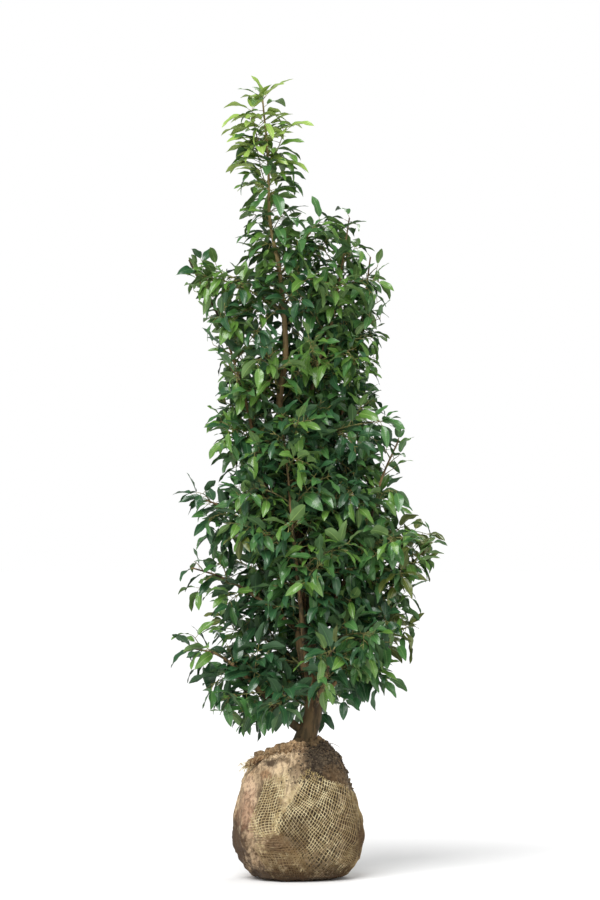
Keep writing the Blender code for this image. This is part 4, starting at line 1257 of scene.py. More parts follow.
# ---- root ball ---------------------------------------------------------------------
@dataclass
class BallShape:
    """The lumpy bag of soil: radius and height along its side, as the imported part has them."""

    centre: tuple[float, float] = (-0.012, 0.0)
    radius: float = 0.170
    height: float = 0.352
    girth: float = 0.165            # radius that turns are measured along in metres
    profile: tuple[tuple[float, float], ...] = (
        (0.0, 0.0), (0.60, 0.0), (0.80, 0.04), (0.95, 0.15), (1.0, 0.31), (0.95, 0.47),
        (0.87, 0.63), (0.78, 0.79), (0.66, 0.90), (0.42, 0.975), (0.0, 1.0))
    wrinkle: float = 0.0028
    shoulder_drop: float = 0.030    # how far the left shoulder slopes down

    def __post_init__(self) -> None:
        """Work out the profile's shares, radii and heights."""
        self.steps = evenly(len(self.profile))
        self.reaches, self.heights = np.array(self.profile).T * ((self.radius,), (self.height,))

    def dropped(self, x: Array, height: Array) -> Array:
        """Return how far the sloping shoulder has dropped at a place across and a height."""
        sloping = held((self.centre[0] - x) / 0.120)
        return self.shoulder_drop * sloping * (height / self.height) ** 4

    def at(self, turn: Array, share: Array, lift: float | Array = 0.0) -> Array:
        """Return points of the ball at turns and shares of the way up its profile.

        Formula: the profile's radius is multiplied by 1 + 0.045 cos(turn - 2.9) times the
        share left above, plus two sines for its lumps, and is undercut at the left foot.
        The top slopes down to the left, a mound of e^(-distance^2) rises beside the trunk,
        and a noise wrinkles it all.

        Args:
            turn: Turns round the ball, from +X.
            share: Shares of the profile, from 0 underneath to 1 on top.
            lift: The distance outwards from the surface.

        Returns:
            The points.
        """
        radius = np.interp(share, self.steps, self.reaches)
        height = np.interp(share, self.steps, self.heights)
        high = height / self.height
        lumps = 0.018 * np.sin(3 * turn + 1.0 + 9.0 * height) + 0.012 * np.sin(5 * turn + 14.0 * height)
        lumps = lumps * np.minimum(1.0, height / 0.04)
        radius = radius * (1.0 + 0.045 * np.cos(turn - 2.9) * (1.0 - high) + lumps)
        radius = radius * (1.0 - 0.16 * np.maximum(0.0, 1.0 - height / 0.09) * (1.0 - np.cos(turn)) / 2)
        flat = np.array(self.centre) + radius[..., None] * np.stack((np.cos(turn), np.sin(turn)), axis=-1)
        place = np.concatenate((flat, height[..., None]), axis=-1)
        away = ((place[..., :2] - np.array((0.052, 0.012))) ** 2).sum(axis=-1) / 0.050 ** 2
        place[..., 2] -= self.dropped(place[..., 0], height)
        place[..., 2] += 0.020 * np.exp(-away) * high ** 4
        outward = unit((place - np.array((*self.centre, 0.15))) * np.array((1.0, 1.0, 0.8)))
        bumps = noise(place, 0.040, 1.0) + 0.6 * noise(place, 0.017, 2.0)
        amount = (self.wrinkle * (bumps - 0.4))[..., None] * held(height / 0.03)[..., None]
        return place + outward * (amount + np.asarray(lift)[..., None])

    def share_at(self, height: Array) -> Array:
        """Return the share of the profile at each height above the flat underside."""
        return np.interp(height, self.heights[1:], self.steps[1:])

    def turn_at(self, x: Array, z: Array) -> Array:
        """Return the turn of the ball's front at places given across and up."""
        share = self.share_at(z)
        turn = np.full(np.shape(x), -math.pi / 2)
        for _ in range(6):
            reach = np.linalg.norm(self.at(turn, share)[..., :2] - np.array(self.centre), axis=-1)
            turn = -np.arccos(np.clip((x - self.centre[0]) / reach, -0.999, 0.999))
        return turn

    def unrolled(self, x: Array) -> Array:
        """Return how far round from the front a place across lies, in metres along the girth."""
        return self.girth * np.arcsin(np.clip((x - self.centre[0]) / self.girth, -1.0, 1.0))

    def top_at(self, turn: Array, reach: Array) -> Array:
        """Return where the upper part of the ball lies at given distances from its centre.

        Args:
            turn: Turns round the ball.
            reach: Distances from the upright line through its centre.

        Returns:
            Shares of the profile.
        """
        shares = np.linspace(0.5, 1.0, 90)
        found = []
        for one_turn, one_reach in zip(turn, reach):
            place = self.at(np.full(90, one_turn), shares)
            radius = np.linalg.norm(place[:, :2] - np.array(self.centre), axis=-1)
            found.append(np.interp(-one_reach, -radius, shares))
        return np.array(found)


class RootBall:
    """The soil, the jute cloth round it, the net of threads and the gathered hem."""

    # The edge where the cloth ends and the net goes on over bare soil: across and up.
    EDGE = ((0.010, 0.345), (0.012, 0.325), (0.015, 0.305), (0.0150, 0.2840), (-0.0160, 0.2400),
            (-0.0380, 0.2120), (-0.0620, 0.1754), (-0.0830, 0.1491), (-0.066, 0.124),
            (-0.034, 0.098), (-0.012, 0.060), (0.004, 0.008))
    # The fold under the hem: across and up.
    FOLD = ((-0.128, 0.303), (-0.106, 0.311), (-0.088, 0.319), (-0.066, 0.325), (-0.045, 0.332),
            (-0.020, 0.339), (0.014, 0.346))
    TUFT = ((-0.080, -0.052, 0.322), (-0.108, -0.060, 0.320), (-0.134, -0.056, 0.310),
            (-0.153, -0.050, 0.294))
    CLOTH_THICKNESS = 0.0012        # how far flat cloth stands off the soil
    CLOTH_LOW, HEM_SHARE = 0.010, 0.945     # the cloth's lowest height, and its hem's share
    CLEAR_OF_FLOOR = 0.008          # threads end at this height
    NET_FIRST, NET_LAST = 3, 7      # the knots of the edge between which the net starts
    NET_ANGLES = (19.0, 31.0, 42.0, 51.0, 59.0)     # how steeply its threads fall from there
    MESH = 0.0066                   # distance between threads
    THREAD, THIN, FIBRE = 0.00088, 0.00080, 0.00050     # radii
    NET_REACH = 0.60
    NET_LEVEL = 0.15                # reach past which the threads level out

    def __init__(self, chance: Chance) -> None:
        """Keep the ball's shape and the source of chance."""
        self.shape = BallShape()
        self.chance = chance

    def soil(self) -> Surface:
        """Return the closed body of soil, crumbled by fine noises towards its inside."""
        across, up = np.meshgrid(turns_round(240), evenly(132)[1:-1])
        rings = self.shape.at(across, up)
        crumbs = np.abs(noise(rings, 0.009, 5.0)) + 0.6 * np.abs(noise(rings, 0.0045, 6.0))
        rings = self.shape.at(across, up, -0.0030 * crumbs * held(rings[..., 2] / 0.02))
        ends = self.shape.at(np.zeros(2), np.array((0.0, 1.0)))
        return capped(rings[None], ends[None])

    def lumps(self, middle: Array, size: Array, rows: int, sides: int, relief: float) -> Surface:
        """Return many small uneven lumps.

        Formula: each is a ball of its size, stretched by a random amount along each axis,
        whose radius is multiplied by 1 plus relief times a noise.

        Args:
            middle: The lumps' centres.
            size: Their radii.
            rows: How many rings a lump has.
            sides: How many sides a ring has.
            relief: How uneven they are.

        Returns:
            The lumps as one surface.
        """
        lean = np.linspace(0.0, math.pi, rows + 2)[1:-1][:, None]
        turns = turns_round(sides)[None, :]
        ball = np.stack(np.broadcast_arrays(np.sin(lean) * np.cos(turns), np.sin(lean) * np.sin(turns),
                                            -np.cos(lean)), axis=-1)[None]
        squash = self.chance.uniform(0.7, 1.35, (len(size), 1, 1, 3))
        grow = 1.0 + relief * noise(ball + middle[:, None, None, :] * 400.0, 0.55, 3.0)
        rings = middle[:, None, None, :] + size[:, None, None, None] * grow[..., None] * ball * squash
        ends = middle[:, None, :] + size[:, None, None] * np.stack((-UP, UP))[None] * squash[:, :, 0]
        return capped(rings, ends)

    def crumbs(self, count: int = 620, spilt: int = 260) -> Surface:
        """Return small lumps of soil on the bare top and spilt along the cloth's edge."""
        draw = self.chance.uniform
        turn, share = draw(-1.28, 0.75, count), draw(0.60, 0.985, count)
        size = 0.0013 + 0.0042 * self.chance.random(count) ** 4
        middle = self.shape.at(turn, share, size * 0.1)
        height = draw(0.255, 0.338, spilt)
        across = self.edge_at(height) + 0.012 - self.chance.exponential(0.014, spilt)
        turn, share = self.shape.turn_at(across, height), self.shape.share_at(height)
        small = 0.0009 + 0.0022 * self.chance.random(spilt) ** 2
        along_edge = self.shape.at(turn, share, self.relief(turn, share) + small * 0.3)
        return joined([self.lumps(middle, size, 4, 7, 0.45), self.lumps(along_edge, small, 3, 6, 0.45)])

    def knots(self, count: int = 26) -> Surface:
        """Return the bunched folds of cloth along the hem and round the trunk's foot."""
        draw = self.chance.uniform
        path = self.hem_path(count, 1.0, 0.001)
        path = path + self.chance.normal(0.0, 0.0045, (count, 3)) * np.array((1.0, 1.0, 0.6))
        size = draw(0.0045, 0.0100, count)
        turn = np.linspace(-2.8, 0.2, 11)
        foot = np.stack((0.008 + 0.036 * np.cos(turn), 0.033 * np.sin(turn), 0.355 + 0.0 * turn), axis=-1)
        foot = foot + self.chance.normal(0.0, 0.003, foot.shape)
        size = np.concatenate((size, draw(0.0065, 0.0115, 11)))
        return self.lumps(np.vstack((path, foot)), size, 14, 20, 0.55).woven()

    def edge_at(self, height: Array) -> Array:
        """Return how far across the cloth's edge lies at each height."""
        edge = np.array(self.EDGE)[::-1]
        return np.interp(height, edge[:, 1], edge[:, 0])

    def relief(self, turn: Array, share: Array) -> Array:
        """Return how far the cloth stands off the soil at turns and shares of the profile.

        Formula: gathers of sine waves round the ball grow towards the hem, slack and creases
        are stretched noises, and at the front come a bunch of level folds low down, a ridge
        with a groove beside it at the left and sharp tucks.  All fade out at the edge and on
        the right, where the net holds the cloth tight.

        Args:
            turn: Turns round the ball, from +X.
            share: Shares of the profile.

        Returns:
            The distance from the soil at each place.
        """
        place = self.shape.at(turn, share)
        across, away, height = place[..., 0], place[..., 1], place[..., 2]
        loose = 1.0 - held(np.cos(turn) * 1.8)
        near_top = held((share - 0.55) / 0.33) ** 1.4 * (1.0 - 0.45 * held((share - 0.84) / 0.10))
        flow = np.stack((4.0 * np.cos(turn), 4.0 * np.sin(turn), 3.0 * height), axis=-1)
        folds = 0.0085 * near_top * np.abs(np.sin(turn * 23.0 + 2.6 * noise(flow, 0.8, 9.0)))
        slack = noise(flow * np.array((1.0, 1.0, 2.2)), 0.55, 7.0) + 0.35
        folds = folds + 0.0050 * loose * np.maximum(0.0, slack)
        folds = folds + 0.0022 * np.abs(noise(flow * np.array((2.0, 2.0, 6.0)), 0.6, 12.0))
        front = held(-away / 0.05)
        low = np.exp(-((across + 0.055) / 0.050) ** 2 - ((height - 0.102) / 0.026) ** 2)
        wavy = height + 0.010 * np.sin(across * 40.0) + 0.10 * across
        folds = folds + 0.0075 * front * low * np.abs(np.sin(wavy * 230.0))
        groove = np.exp(-((across + 0.120 - 0.10 * (height - 0.2)) / 0.006) ** 2)
        ridge = np.exp(-((across + 0.138) / 0.014) ** 2)
        folds = folds + front * held((0.30 - height) / 0.06) * (0.0050 * ridge - 0.0030 * groove)
        tucks = noise(place * np.array((9.0, 9.0, 2.6)), 0.16, 15.0)
        folds = folds + 0.0034 * loose * np.maximum(0.0, 1.0 - 3.2 * np.abs(tucks))
        inset = held((self.edge_at(height) + 0.010 - across) / 0.022)
        inset = np.where(away > 0.0, 1.0, np.maximum(inset, held((across - 0.11) / 0.02)))
        return self.CLOTH_THICKNESS + inset * np.maximum(0.0, folds)

    def cloth(self) -> Surface:
        """Return the jute cloth that wraps the left side and the back.

        Formula: its grid runs from the edge's turn at each height round to the seam on the
        right, and from the underside up to the hem, and stands off the soil by the relief.

        Returns:
            The closed, thin surface.
        """
        up, along = evenly(110)[:, None], evenly(240)[None, :]
        low = float(self.shape.share_at(np.array(self.CLOTH_LOW)))
        share = low + (self.HEM_SHARE - low) * up
        height = np.interp(share, self.shape.steps, self.shape.heights)
        level = height[:, 0]
        ragged = level[:, None] * np.array((1.0, 0.0, 0.0))
        start = self.shape.turn_at(self.edge_at(level) + 0.006 + 0.006 * noise(ragged, 0.009, 2.0), level)
        side = held((0.245 - level) / 0.020)
        seam = self.shape.turn_at(0.096 + 0.014 * noise(ragged, 0.014, 5.0), level) - 2.0 * math.pi
        end = math.radians(-360.0 + 28.0) * (1.0 - side) + seam * side
        turn = start[:, None] + (end - start)[:, None] * along
        share = share + 0.010 * noise(turn[..., None] * np.array((3.0, 0.0, 0.0)), 0.35, 4.0) * up ** 6
        outer = self.shape.at(turn, share, self.relief(turn, share))
        inner = self.shape.at(turn, share, np.full(turn.shape, -0.0020))
        return closed_sheet(outer, inner, np.stack((turn * self.shape.girth, height + 0.0 * turn), axis=-1))

    def laid(self, way: Array, over: float, radius: float) -> list[Surface]:
        """Return the thread along a way round and up, as far as it stays above the underside.

        Formula: it lies a little over the cloth's folds, and straight on the soil past the
        edge.  Its radius is multiplied by 1 + 0.22 times a noise.

        Args:
            way: Metres round the ball and up, one place a row.
            over: How far it lies above what is under it.
            radius: Its radius.

        Returns:
            A list with the thread, or an empty one where nothing of it is left.
        """
        low = np.nonzero(way[:, 1] < self.CLEAR_OF_FLOOR)[0]
        way = way[:low[0]] if len(low) else way
        if len(way) < 4:
            return []
        turn = way[:, 0] / self.shape.girth - math.pi / 2
        share = self.shape.share_at(way[:, 1])
        across = self.shape.at(turn, share)[:, 0]
        covered = held((self.edge_at(way[:, 1]) + 0.014 - across) / 0.006)
        covered = np.maximum(covered, held((across - 0.080) / 0.010))
        under = np.maximum(covered * self.relief(turn, share), self.CLOTH_THICKNESS)
        points = self.shape.at(turn, share, over + under)
        path = along_path(points, evenly(max(3, round(length_of(points) / 0.0055) + 1)))
        swell = radius * (1.0 + 0.22 * noise(path, 0.012, 8.0))
        return [swept_tubes(path[None], swell[None], 4)]

    def net(self) -> Surface:
        """Return the net: threads that fan out from the cloth's edge, and threads across them.

        Formula: a thread starts at a share b of the edge and runs on by a metres at its own
        angle, that levels out past the reach NET_LEVEL.  Threads across have the same a for
        every b.  Places are metres round the ball and up.

        Returns:
            All the threads as one surface.
        """
        edge = np.array(self.EDGE[self.NET_FIRST:self.NET_LAST + 1])
        start = np.stack((self.shape.unrolled(edge[:, 0]), edge[:, 1]), axis=-1)
        lengths = np.concatenate(([0.0], np.cumsum(np.linalg.norm(np.diff(start, axis=0), axis=1))))
        knots = lengths / lengths[-1]

        def place(a: Array, b: Array) -> Array:
            """Return metres round and up at reaches a from shares b of the edge."""
            angle = np.radians(np.interp(b, knots, self.NET_ANGLES))
            fall, more = np.minimum(a, self.NET_LEVEL), np.maximum(0.0, a - self.NET_LEVEL)
            down = fall + 0.10 * (1.0 - np.exp(-more / 0.10))
            sway = 0.0022 * np.sin(a * 60.0 + b * 9.0) + 0.0016 * np.sin(a * 23.0 - b * 31.0)
            beyond = np.minimum(b, 0.0)[..., None] * (start[1] - start[0]) / knots[1]
            beyond = beyond + np.maximum(b - 1.0, 0.0)[..., None] * (start[-1] - start[-2]) / knots[1]
            spot = np.stack((np.interp(b, knots, start[:, 0]) + (fall * np.cos(angle) + more),
                             np.interp(b, knots, start[:, 1]) - down * np.sin(angle) + sway), axis=-1)
            return spot + beyond

        chance = self.chance
        count = round(lengths[-1] / self.MESH)
        threads = []
        for number in np.arange(0.0, count - 0.4, 0.5):
            first = -0.010 * chance.random() if number == int(number) else 0.235
            a = np.linspace(first, self.NET_REACH, 160)
            spots = np.stack((a * 30.0, a * 0.0 + number, a * 0.0), axis=-1)
            strayed = number + 0.22 * noise(spots, 0.8, 21.0)
            threads += self.laid(place(a, strayed / count), 0.0012, self.THREAD)
        for a in np.arange(0.0, self.NET_REACH, self.MESH * 1.10):
            b = np.linspace(-0.02 - 0.05 * chance.random(), 1.0 + 0.03 * chance.random(), 90)
            wobble = 0.0025 * np.sin(b * 14.0 + a * 90.0)
            threads += self.laid(place(np.full(90, a) + wobble, b), 0.0020, self.THREAD)
        bowed = evenly(8) ** 2
        for b in chance.uniform(0.0, 1.0, 44):
            a = np.linspace(0.004, -0.006 - 0.012 * chance.random(), 8)
            sway = chance.normal(0.0, 0.012) * bowed
            threads += self.laid(place(a, np.full(8, b) + sway * 6.0), 0.0020, self.FIBRE)
        for a in chance.uniform(0.0, 0.16, 40):
            b = np.linspace(0.01, -0.03 - 0.06 * chance.random(), 8)
            sway = chance.normal(0.0, 0.006) * bowed
            threads += self.laid(place(np.full(8, a) + sway, b), 0.0022, self.FIBRE)
        return joined(threads)

    def side_panels(self) -> Surface:
        """Return the strips of net on the cloth, left of the edge and under its folds.

        Formula: in the upper strip threads lean to the right as they rise and bend towards
        the net's corner low down.  In the lower one they run level, closer in the folds.
        """
        some = self.chance.random
        threads = []

        def lay(x: Array, z: Array, over: float, radius: float) -> None:
            """Lay a thread along places given across and up."""
            threads.extend(self.laid(np.stack((self.shape.unrolled(x), z), axis=-1), over, radius))

        for x in np.arange(-0.124, -0.060, self.MESH):
            z = np.linspace(0.126 - 0.010 * some(), 0.272 + 0.012 * some(), 50)
            lean = x + 0.16 * (z - 0.2) + 0.0018 * np.sin(z * 70.0 + x * 120.0)
            lay(lean + 0.022 * np.maximum(0.0, (0.170 - z) / 0.045) ** 2, z, 0.0012, self.THREAD)
        for z in np.arange(0.128, 0.274, self.MESH * 1.08):
            left = -0.130 + 0.006 * some() + 0.022 * max(0.0, (0.170 - z) / 0.045) ** 2
            x = np.linspace(left, -0.052 - 0.008 * some(), 40) + 0.16 * (z - 0.2)
            lay(x, z + 0.24 * (x + 0.09) + 0.0014 * np.sin(x * 130.0 + z * 50.0), 0.0020, self.THREAD)
        for z in np.concatenate((np.arange(0.012, 0.080, self.MESH * 0.9), np.arange(0.080, 0.128, 0.0046))):
            left = -0.118 + 0.012 * some() + 0.10 * abs(z - 0.08)
            x = np.linspace(left, float(self.edge_at(z)) + 0.016 + 0.008 * some(), 60)
            lay(x, z + 0.0026 * np.sin(x * 55.0 + z * 160.0) - 0.10 * (x + 0.05), 0.0014, self.THIN)
        for x in np.arange(-0.112, 0.014, self.MESH * 0.9):
            z = np.linspace(0.086 + 0.010 * some(), 0.010, 30)
            lay(x + 0.30 * (0.08 - z) + 0.0020 * np.sin(z * 90.0 + x * 200.0), z, 0.0020, self.THIN)
        return joined(threads)

    def hem_path(self, count: int, inset: float, lift: float) -> Array:
        """Return the gathered edge's path over the ball's top, left of the trunk.

        Formula: it turns from 95 to 262 degrees round the trunk's foot, at a reach of 0.122
        times 0.62 + 0.42 times the sine of the share of the way, and is flatter in front.

        Args:
            count: How many points it has.
            inset: What its reach is multiplied by.
            lift: How far it lies above the soil.

        Returns:
            Its points, one a row.
        """
        share = evenly(count)
        turn = math.radians(95) + math.radians(262 - 95) * share
        reach = 0.122 * (0.62 + 0.42 * np.sin(math.pi * share)) * inset
        x = 0.004 + reach * np.cos(turn) - self.shape.centre[0]
        y = reach * np.sin(turn) * np.where(np.sin(turn) < 0.0, 0.60, 1.0)
        around = np.arctan2(y, x)
        return self.shape.at(around, self.shape.top_at(around, np.hypot(x, y)), lift)

    def fold_path(self) -> Array:
        """Return the path of the fold that hangs below the hem, on the front of the shoulder."""
        knots = np.array(self.FOLD)
        x = np.linspace(knots[0, 0], knots[-1, 0], 150)
        z = np.interp(x, knots[:, 0], knots[:, 1])
        height = z
        for _ in range(4):
            height = z + self.shape.dropped(x, height)
        turn, share = self.shape.turn_at(x, height), self.shape.share_at(height)
        return self.shape.at(turn, share, self.relief(turn, share) + 0.005)

    def hem(self) -> Surface:
        """Return the gathered edge: three crumpled rolls side by side, a tuft and a fold.

        Formula: each roll's radius is multiplied by 0.62 plus sharp folds, which are a sine
        of 2.5 times the turn and 22 times the length without its sign, plus noise.
        """
        share = evenly(150)
        turn, along = np.meshgrid(turns_round(28), share)
        place = np.stack((np.cos(turn), np.sin(turn), along * 26.0), axis=-1)
        paths = (self.hem_path(150, 1.0, -0.001), self.hem_path(150, 0.90, 0.002),
                 self.hem_path(150, 1.06, 0.001), along_path(smooth_path(self.TUFT, 0.002), share),
                 self.fold_path())
        rolls = []
        for seed, (path, size) in enumerate(zip(paths, (0.0115, 0.0080, 0.0065, 0.0085, 0.0100)), start=1):
            path = path + 0.0035 * np.stack([noise(path, 0.016, seed + i) for i in (4, 5, 6)], axis=-1)
            swell = size * (0.45 + 0.55 * np.sin(math.pi * share) + 0.12 * np.sin(11 * share))
            folds = np.abs(np.sin(2.5 * turn + 22.0 * along + 2.0 * noise(place, 1.4, seed)))
            relief = 0.62 + 0.55 * folds + 0.32 * noise(place, 0.7, seed + 8.0)
            rolls.append(swept_tubes(path[None], swell[None], 28, relief[None]))
        return joined(rolls).woven()

    def strands(self, count: int = 220, at_tuft: int = 60) -> Surface:
        """Return loose fibres that stand out of the hem, each a bowed, tapering thread."""
        chance = self.chance
        path = self.hem_path(count, 1.0, 0.006)
        tuft = np.array(((-0.112, -0.060, 0.320), (-0.152, -0.050, 0.296)))
        path[:at_tuft] = along_path(tuft, evenly(at_tuft) ** 0.5)
        foot = path + chance.normal(0.0, 0.004, (count, 3))
        outward = unit((foot - np.array((0.0, 0.0, 0.30))) * np.array((1.0, 1.0, 0.6)))
        way = unit(outward + chance.normal(0.0, 0.55, (count, 3)))
        span = (0.008 + 0.030 * chance.random(count) ** 2)[:, None]
        end = foot + way * span - UP * 0.55 * span + chance.normal(0.0, 0.25, (count, 3)) * span
        return tapering(bowed_paths(foot, foot + way * span * 0.6, end, 8), 0.0007, 0.0003)

    def rootlets(self, count: int = 90) -> Surface:
        """Return fine roots and straws that lie on the bare soil."""
        chance = self.chance
        turn = chance.uniform(-1.30, 0.65, count)
        foot = self.shape.at(turn, chance.uniform(0.58, 0.97, count), 0.001)
        outward = unit((foot - np.array((0.03, 0.0, 0.20))) * np.array((1.0, 1.0, 0.7)))
        way = unit(np.cross(outward, chance.normal(0.0, 1.0, (count, 3))))
        span = chance.uniform(0.010, 0.034, count)[:, None]
        bend = foot + way * span * 0.5 + outward * span * 0.22
        end = foot + way * span + chance.normal(0.0, 0.2, (count, 3)) * span - outward * span * 0.15
        return tapering(bowed_paths(foot, bend, end, 8), 0.0006, 0.0003)

    def build(self, soil: Material, cloth: Material, thread: Material, root: Material,
              gathered: Material) -> None:
        """Make the pieces of the root ball.

        Args:
            soil: The material of the soil and its crumbs.
            cloth: That of the cloth.
            thread: That of the net and the loose fibres.
            root: That of the rootlets.
            gathered: That of the gathered hem.
        """
        self.soil().to_object("soil_of_root_ball", [soil], "soil_ball", ("root_ball",))
        self.crumbs().to_object("soil_crumbs", [soil], "soil_ball")
        self.rootlets().to_object("rootlets_on_the_soil", [root], "bark")
        self.cloth().to_object("jute_cloth", [cloth], "jute")
        joined([self.net(), self.side_panels()]).to_object("jute_net", [thread], "jute")
        joined([self.hem(), self.knots()]).to_object("gathered_hem", [gathered], "jute", ("jute_hem",))
        self.strands().to_object("frayed_strands", [thread], "jute")


# ---- materials ---------------------------------------------------------------------
# Patches: centre (3), size (3) and colour (3), then share, edge and roughness.
BARK = GrainFinish("bark", (38, 27, 13), (130, 102, 66), (82, 74, 44), patches=patch_rows(
    (0.01, 0.0, 0.39, 0.08, 0.08, 0.11, 56, 42, 18, 0.62),
    # A lighter tan on the trunk where it shows between the leaves: in part the bark's own colour and in part
    # a painted highlight.
    (-0.055, 0.0, 1.5, 0.06, 0.06, 0.28, 154, 132, 88, 0.55, 0.35, 2.0),
    (-0.09, 0.0, 1.88, 0.06, 0.06, 0.28, 158, 140, 90, 0.65, 0.35, 2.0),
    (0.08, -0.03, 1.5, 0.06, 0.04, 0.26, 150, 126, 82, 0.55, 0.35, 2.0)))
TWIG = GrainFinish("twig", (72, 64, 36), (140, 132, 80), (98, 112, 56), 120.0, 0.4, 0.7, 0.0004)
STALK = GrainFinish("leaf stalk", (116, 112, 56), (156, 152, 84), (128, 112, 66), 160.0, 0.5, 0.6, 0.0002)
ROOT = GrainFinish("root", (80, 60, 40), (140, 114, 82), (112, 88, 60), 160.0, 0.5, 0.8, 0.0002)
# The third colour of each shade, the underside's, is darkened as painted shade.
SHADES = (                          # in the order of Shade
    LeafFinish("young leaf", (148, 180, 84), (196, 208, 130), (150, 172, 90)),
    LeafFinish("fresh leaf", (88, 128, 52), (134, 164, 88), (88, 118, 60)),
    LeafFinish("grown leaf", (66, 110, 56), (108, 146, 84), (70, 102, 58)),
    LeafFinish("deep leaf", (43, 82, 49), (80, 118, 72), (54, 86, 53)),
    LeafFinish("olive leaf", (84, 98, 38), (140, 142, 80), (88, 100, 50), 0.38, 0.4))
SOIL = GrainFinish(
    "soil", (44, 34, 23), (156, 136, 108), (74, 64, 46), 110.0, 1.0, 0.95, 0.003, patch_rows(
        (0.02, -0.15, 0.19, 0.11, 0.12, 0.1, 50, 36, 18, 0.66),
        (0.07, -0.06, 0.32, 0.11, 0.15, 0.075, 48, 36, 24, 0.62, 0.4, 2.4),
        (0.1, -0.11, 0.275, 0.04, 0.08, 0.03, 120, 94, 62, 0.45, 0.4, 2.8)), 0.30, 0.85, 0.6)
CLOTH = ClothFinish("jute cloth", (218, 192, 156), (54, 37, 20), (138, 108, 76), patches=patch_rows(
    (-0.045, -0.15, 0.25, 0.03, 0.06, 0.05, 214, 194, 154, 0.6),
    (-0.14, -0.1, 0.2, 0.02, 0.06, 0.09, 212, 176, 148, 0.5),
    (-0.19, -0.03, 0.09, 0.078, 0.15, 0.09, 58, 35, 12, 0.92, 0.4, 2.4),
    (-0.15, -0.08, 0.185, 0.026, 0.07, 0.05, 146, 106, 78, 0.5, 0.4, 2.6),
    (-0.02, -0.1, 0.008, 0.2, 0.13, 0.034, 46, 28, 8, 0.92, 0.4, 2.0),
    (-0.092, -0.14, 0.2, 0.036, 0.07, 0.074, 74, 58, 34, 0.88),
    (-0.038, -0.16, 0.078, 0.074, 0.08, 0.056, 84, 58, 30, 0.85, 0.3, 2.2),
    (-0.014, -0.13, 0.286, 0.028, 0.08, 0.024, 92, 74, 50, 0.6, 0.3, 2.6),
    (0.016, -0.09, 0.316, 0.02, 0.08, 0.042, 74, 56, 36, 0.78, 0.45, 3.0),
    # The next two rows are painted shade: the hollow and the dark streak under the fold of the hem.
    (-0.088, -0.1, 0.309, 0.02, 0.06, 0.01, 46, 32, 18, 0.88, 0.5, 3.0),
    (-0.05, -0.1, 0.318, 0.02, 0.06, 0.007, 84, 64, 42, 0.7, 0.5, 3.0),
    (-0.098, -0.12, 0.28, 0.013, 0.06, 0.014, 146, 108, 72, 0.7, 0.35, 2.2),
    (-0.02, -0.06, 0.342, 0.05, 0.06, 0.008, 120, 90, 60, 0.6, 0.35, 2.2),
    (0.17, 0.0, 0.12, 0.13, 0.22, 0.19, 54, 34, 14, 0.92, 0.35, 2.0),
    (0.0, 0.17, 0.04, 0.19, 0.12, 0.07, 86, 62, 38, 0.6)))
THREAD = GrainFinish(
    "jute thread", (164, 144, 102), (222, 208, 166), (186, 164, 120), 90.0, 0.6, 0.9, 0.0003, patch_rows(
        (0.155, -0.06, 0.12, 0.085, 0.13, 0.18, 134, 110, 70, 0.7, 0.45, 3.2),
        (0.05, -0.13, 0.285, 0.07, 0.08, 0.02, 150, 128, 78, 0.75, 0.4, 2.4),
        (0.06, -0.14, 0.01, 0.15, 0.12, 0.045, 124, 100, 64, 0.7, 0.4, 3.2),
        (-0.06, -0.15, 0.04, 0.1, 0.08, 0.062, 128, 104, 72, 0.6, 0.4, 3.2),
        (-0.055, -0.15, 0.104, 0.06, 0.08, 0.026, 112, 86, 56, 0.8, 0.35, 2.4),
        (0.02, -0.1, 0.0, 0.2, 0.15, 0.036, 66, 42, 14, 0.88, 0.45, 2.8),
        (0.168, -0.06, 0.1, 0.032, 0.09, 0.06, 84, 56, 32, 0.8, 0.45, 3.2),
        (-0.014, -0.15, 0.138, 0.03, 0.07, 0.034, 118, 96, 58, 0.65, 0.45, 3.2),
        (0.0, -0.15, 0.06, 0.09, 0.08, 0.03, 124, 100, 62, 0.6, 0.45, 3.2),
        (0.0, 0.2, 0.12, 0.3, 0.2, 0.25, 150, 128, 94, 0.7)))
GATHERED = ClothFinish(
    "gathered cloth", (168, 136, 98), (46, 32, 18), (92, 68, 42), 0.75, patches=patch_rows(
        (0.012, -0.01, 0.356, 0.05, 0.06, 0.02, 88, 70, 42, 0.72, 0.4, 2.2),
        (-0.122, -0.06, 0.312, 0.022, 0.06, 0.014, 132, 98, 66, 0.55, 0.4, 2.2)))


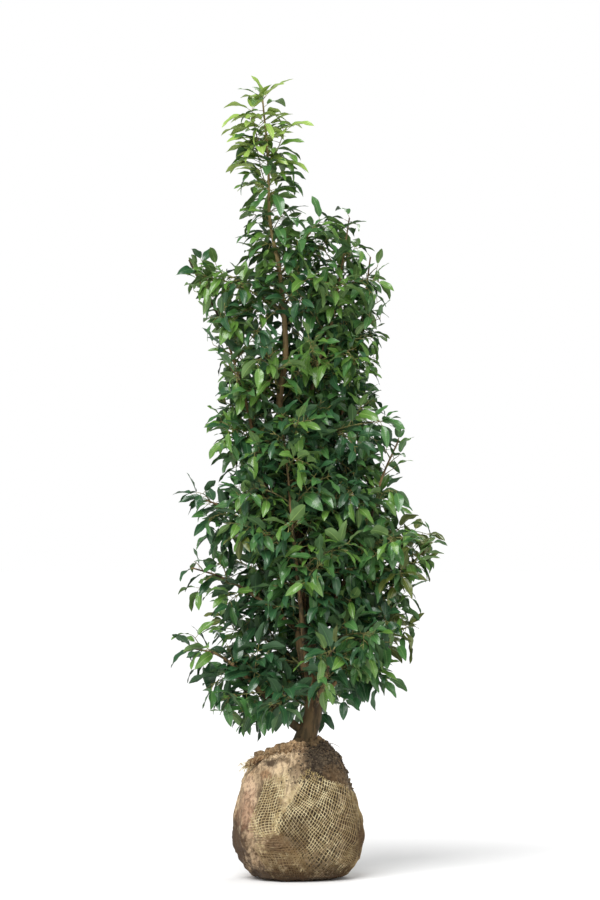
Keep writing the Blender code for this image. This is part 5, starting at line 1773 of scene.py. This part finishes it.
# ---- studio ------------------------------------------------------------------------
class Studio:
    """A plain pale floor, soft light from all round and the camera."""

    MIDDLE = (0.0, 0.0, 1.0)        # the middle of the plant, which the lights point at
    HALF_FLOOR = 30

    def build(self) -> None:
        """Make the floor, the lights, the sky and the camera."""
        finish = Finish("floor", 0.9)
        finish.graph.feed(finish.shader, Base_Color=(0.97, 0.97, 0.97, 1.0))
        mesh = bpy.data.meshes.new("floor")
        corners = [(x * self.HALF_FLOOR, y * self.HALF_FLOOR, 0)
                   for x, y in ((-1, -1), (1, -1), (1, 1), (-1, 1))]
        mesh.from_pydata(corners, [], [(0, 1, 2, 3)])
        mesh.materials.append(finish.material)
        floor = placed("floor", mesh)
        bpy.context.scene.view_settings.view_transform = "Standard"
        self.sky()
        sun = bpy.data.lights.new("sun", "SUN")
        sun.energy = 3.2
        sun.angle = math.radians(42)
        placed("sun", sun).rotation_euler = aim_from((-1.7, -4.4, 5.4), self.MIDDLE)
        for name, place, power in (("fill", (4.0, -3.6, 2.4), 50.0), ("back", (1.5, 5.0, 4.0), 90.0)):
            lamp = bpy.data.lights.new(name, "AREA")
            lamp.size = 3.0
            lamp.energy = power
            holder = placed(name, lamp)
            holder.location = place
            holder.rotation_euler = aim_from(place, self.MIDDLE)
        self.camera()

    def sky(self) -> None:
        """Make the white sky, which lights the plant less than the camera sees of it."""
        world = bpy.data.worlds.new("sky")
        bpy.context.scene.world = world
        world.use_nodes = True
        sky = Graph(world.node_tree)
        path = sky.node("LightPath")
        strength = sky.out(path, "Is Camera Ray") * 0.57 + 0.43 - sky.out(path, "Is Glossy Ray") * 0.16
        sky.feed(world.node_tree.nodes["Background"], Color=(1.0, 1.0, 1.0, 1.0), Strength=strength)

    def camera(self) -> None:
        """Add the camera, level and in front of the plant."""
        lens = bpy.data.cameras.new("camera")
        lens.lens = 182.5
        lens.sensor_width = 36.0
        holder = placed("camera", lens)
        holder.location = (-0.0079, -12.0, 1.1256)
        holder.rotation_euler = (math.pi / 2, 0.0, 0.0)
        bpy.context.scene.camera = holder


def aim_from(place: Place, target: Place) -> Place:
    """Return the turns that point a light from a place at a target."""
    away = np.array(target) - np.array(place)
    return math.atan2(math.hypot(away[0], away[1]), -away[2]), 0.0, math.atan2(-away[0], away[1])


def main() -> None:
    """Build each sub-assembly in order and report its pieces."""
    logging.basicConfig(level=logging.INFO, format="%(message)s")
    groups = Groups()
    limbs = Limbs()
    limbs.build(BARK.build(groups))
    foliage = Foliage(limbs, np.random.default_rng(SEED))
    foliage.build([shade.build(groups) for shade in SHADES], TWIG.build(groups), STALK.build(groups))
    ball = RootBall(np.random.default_rng(SEED + 1))
    ball.build(*(finish.build(groups) for finish in (SOIL, CLOTH, THREAD, ROOT, GATHERED)))
    Studio().build()


if __name__ == "__main__":
    main()
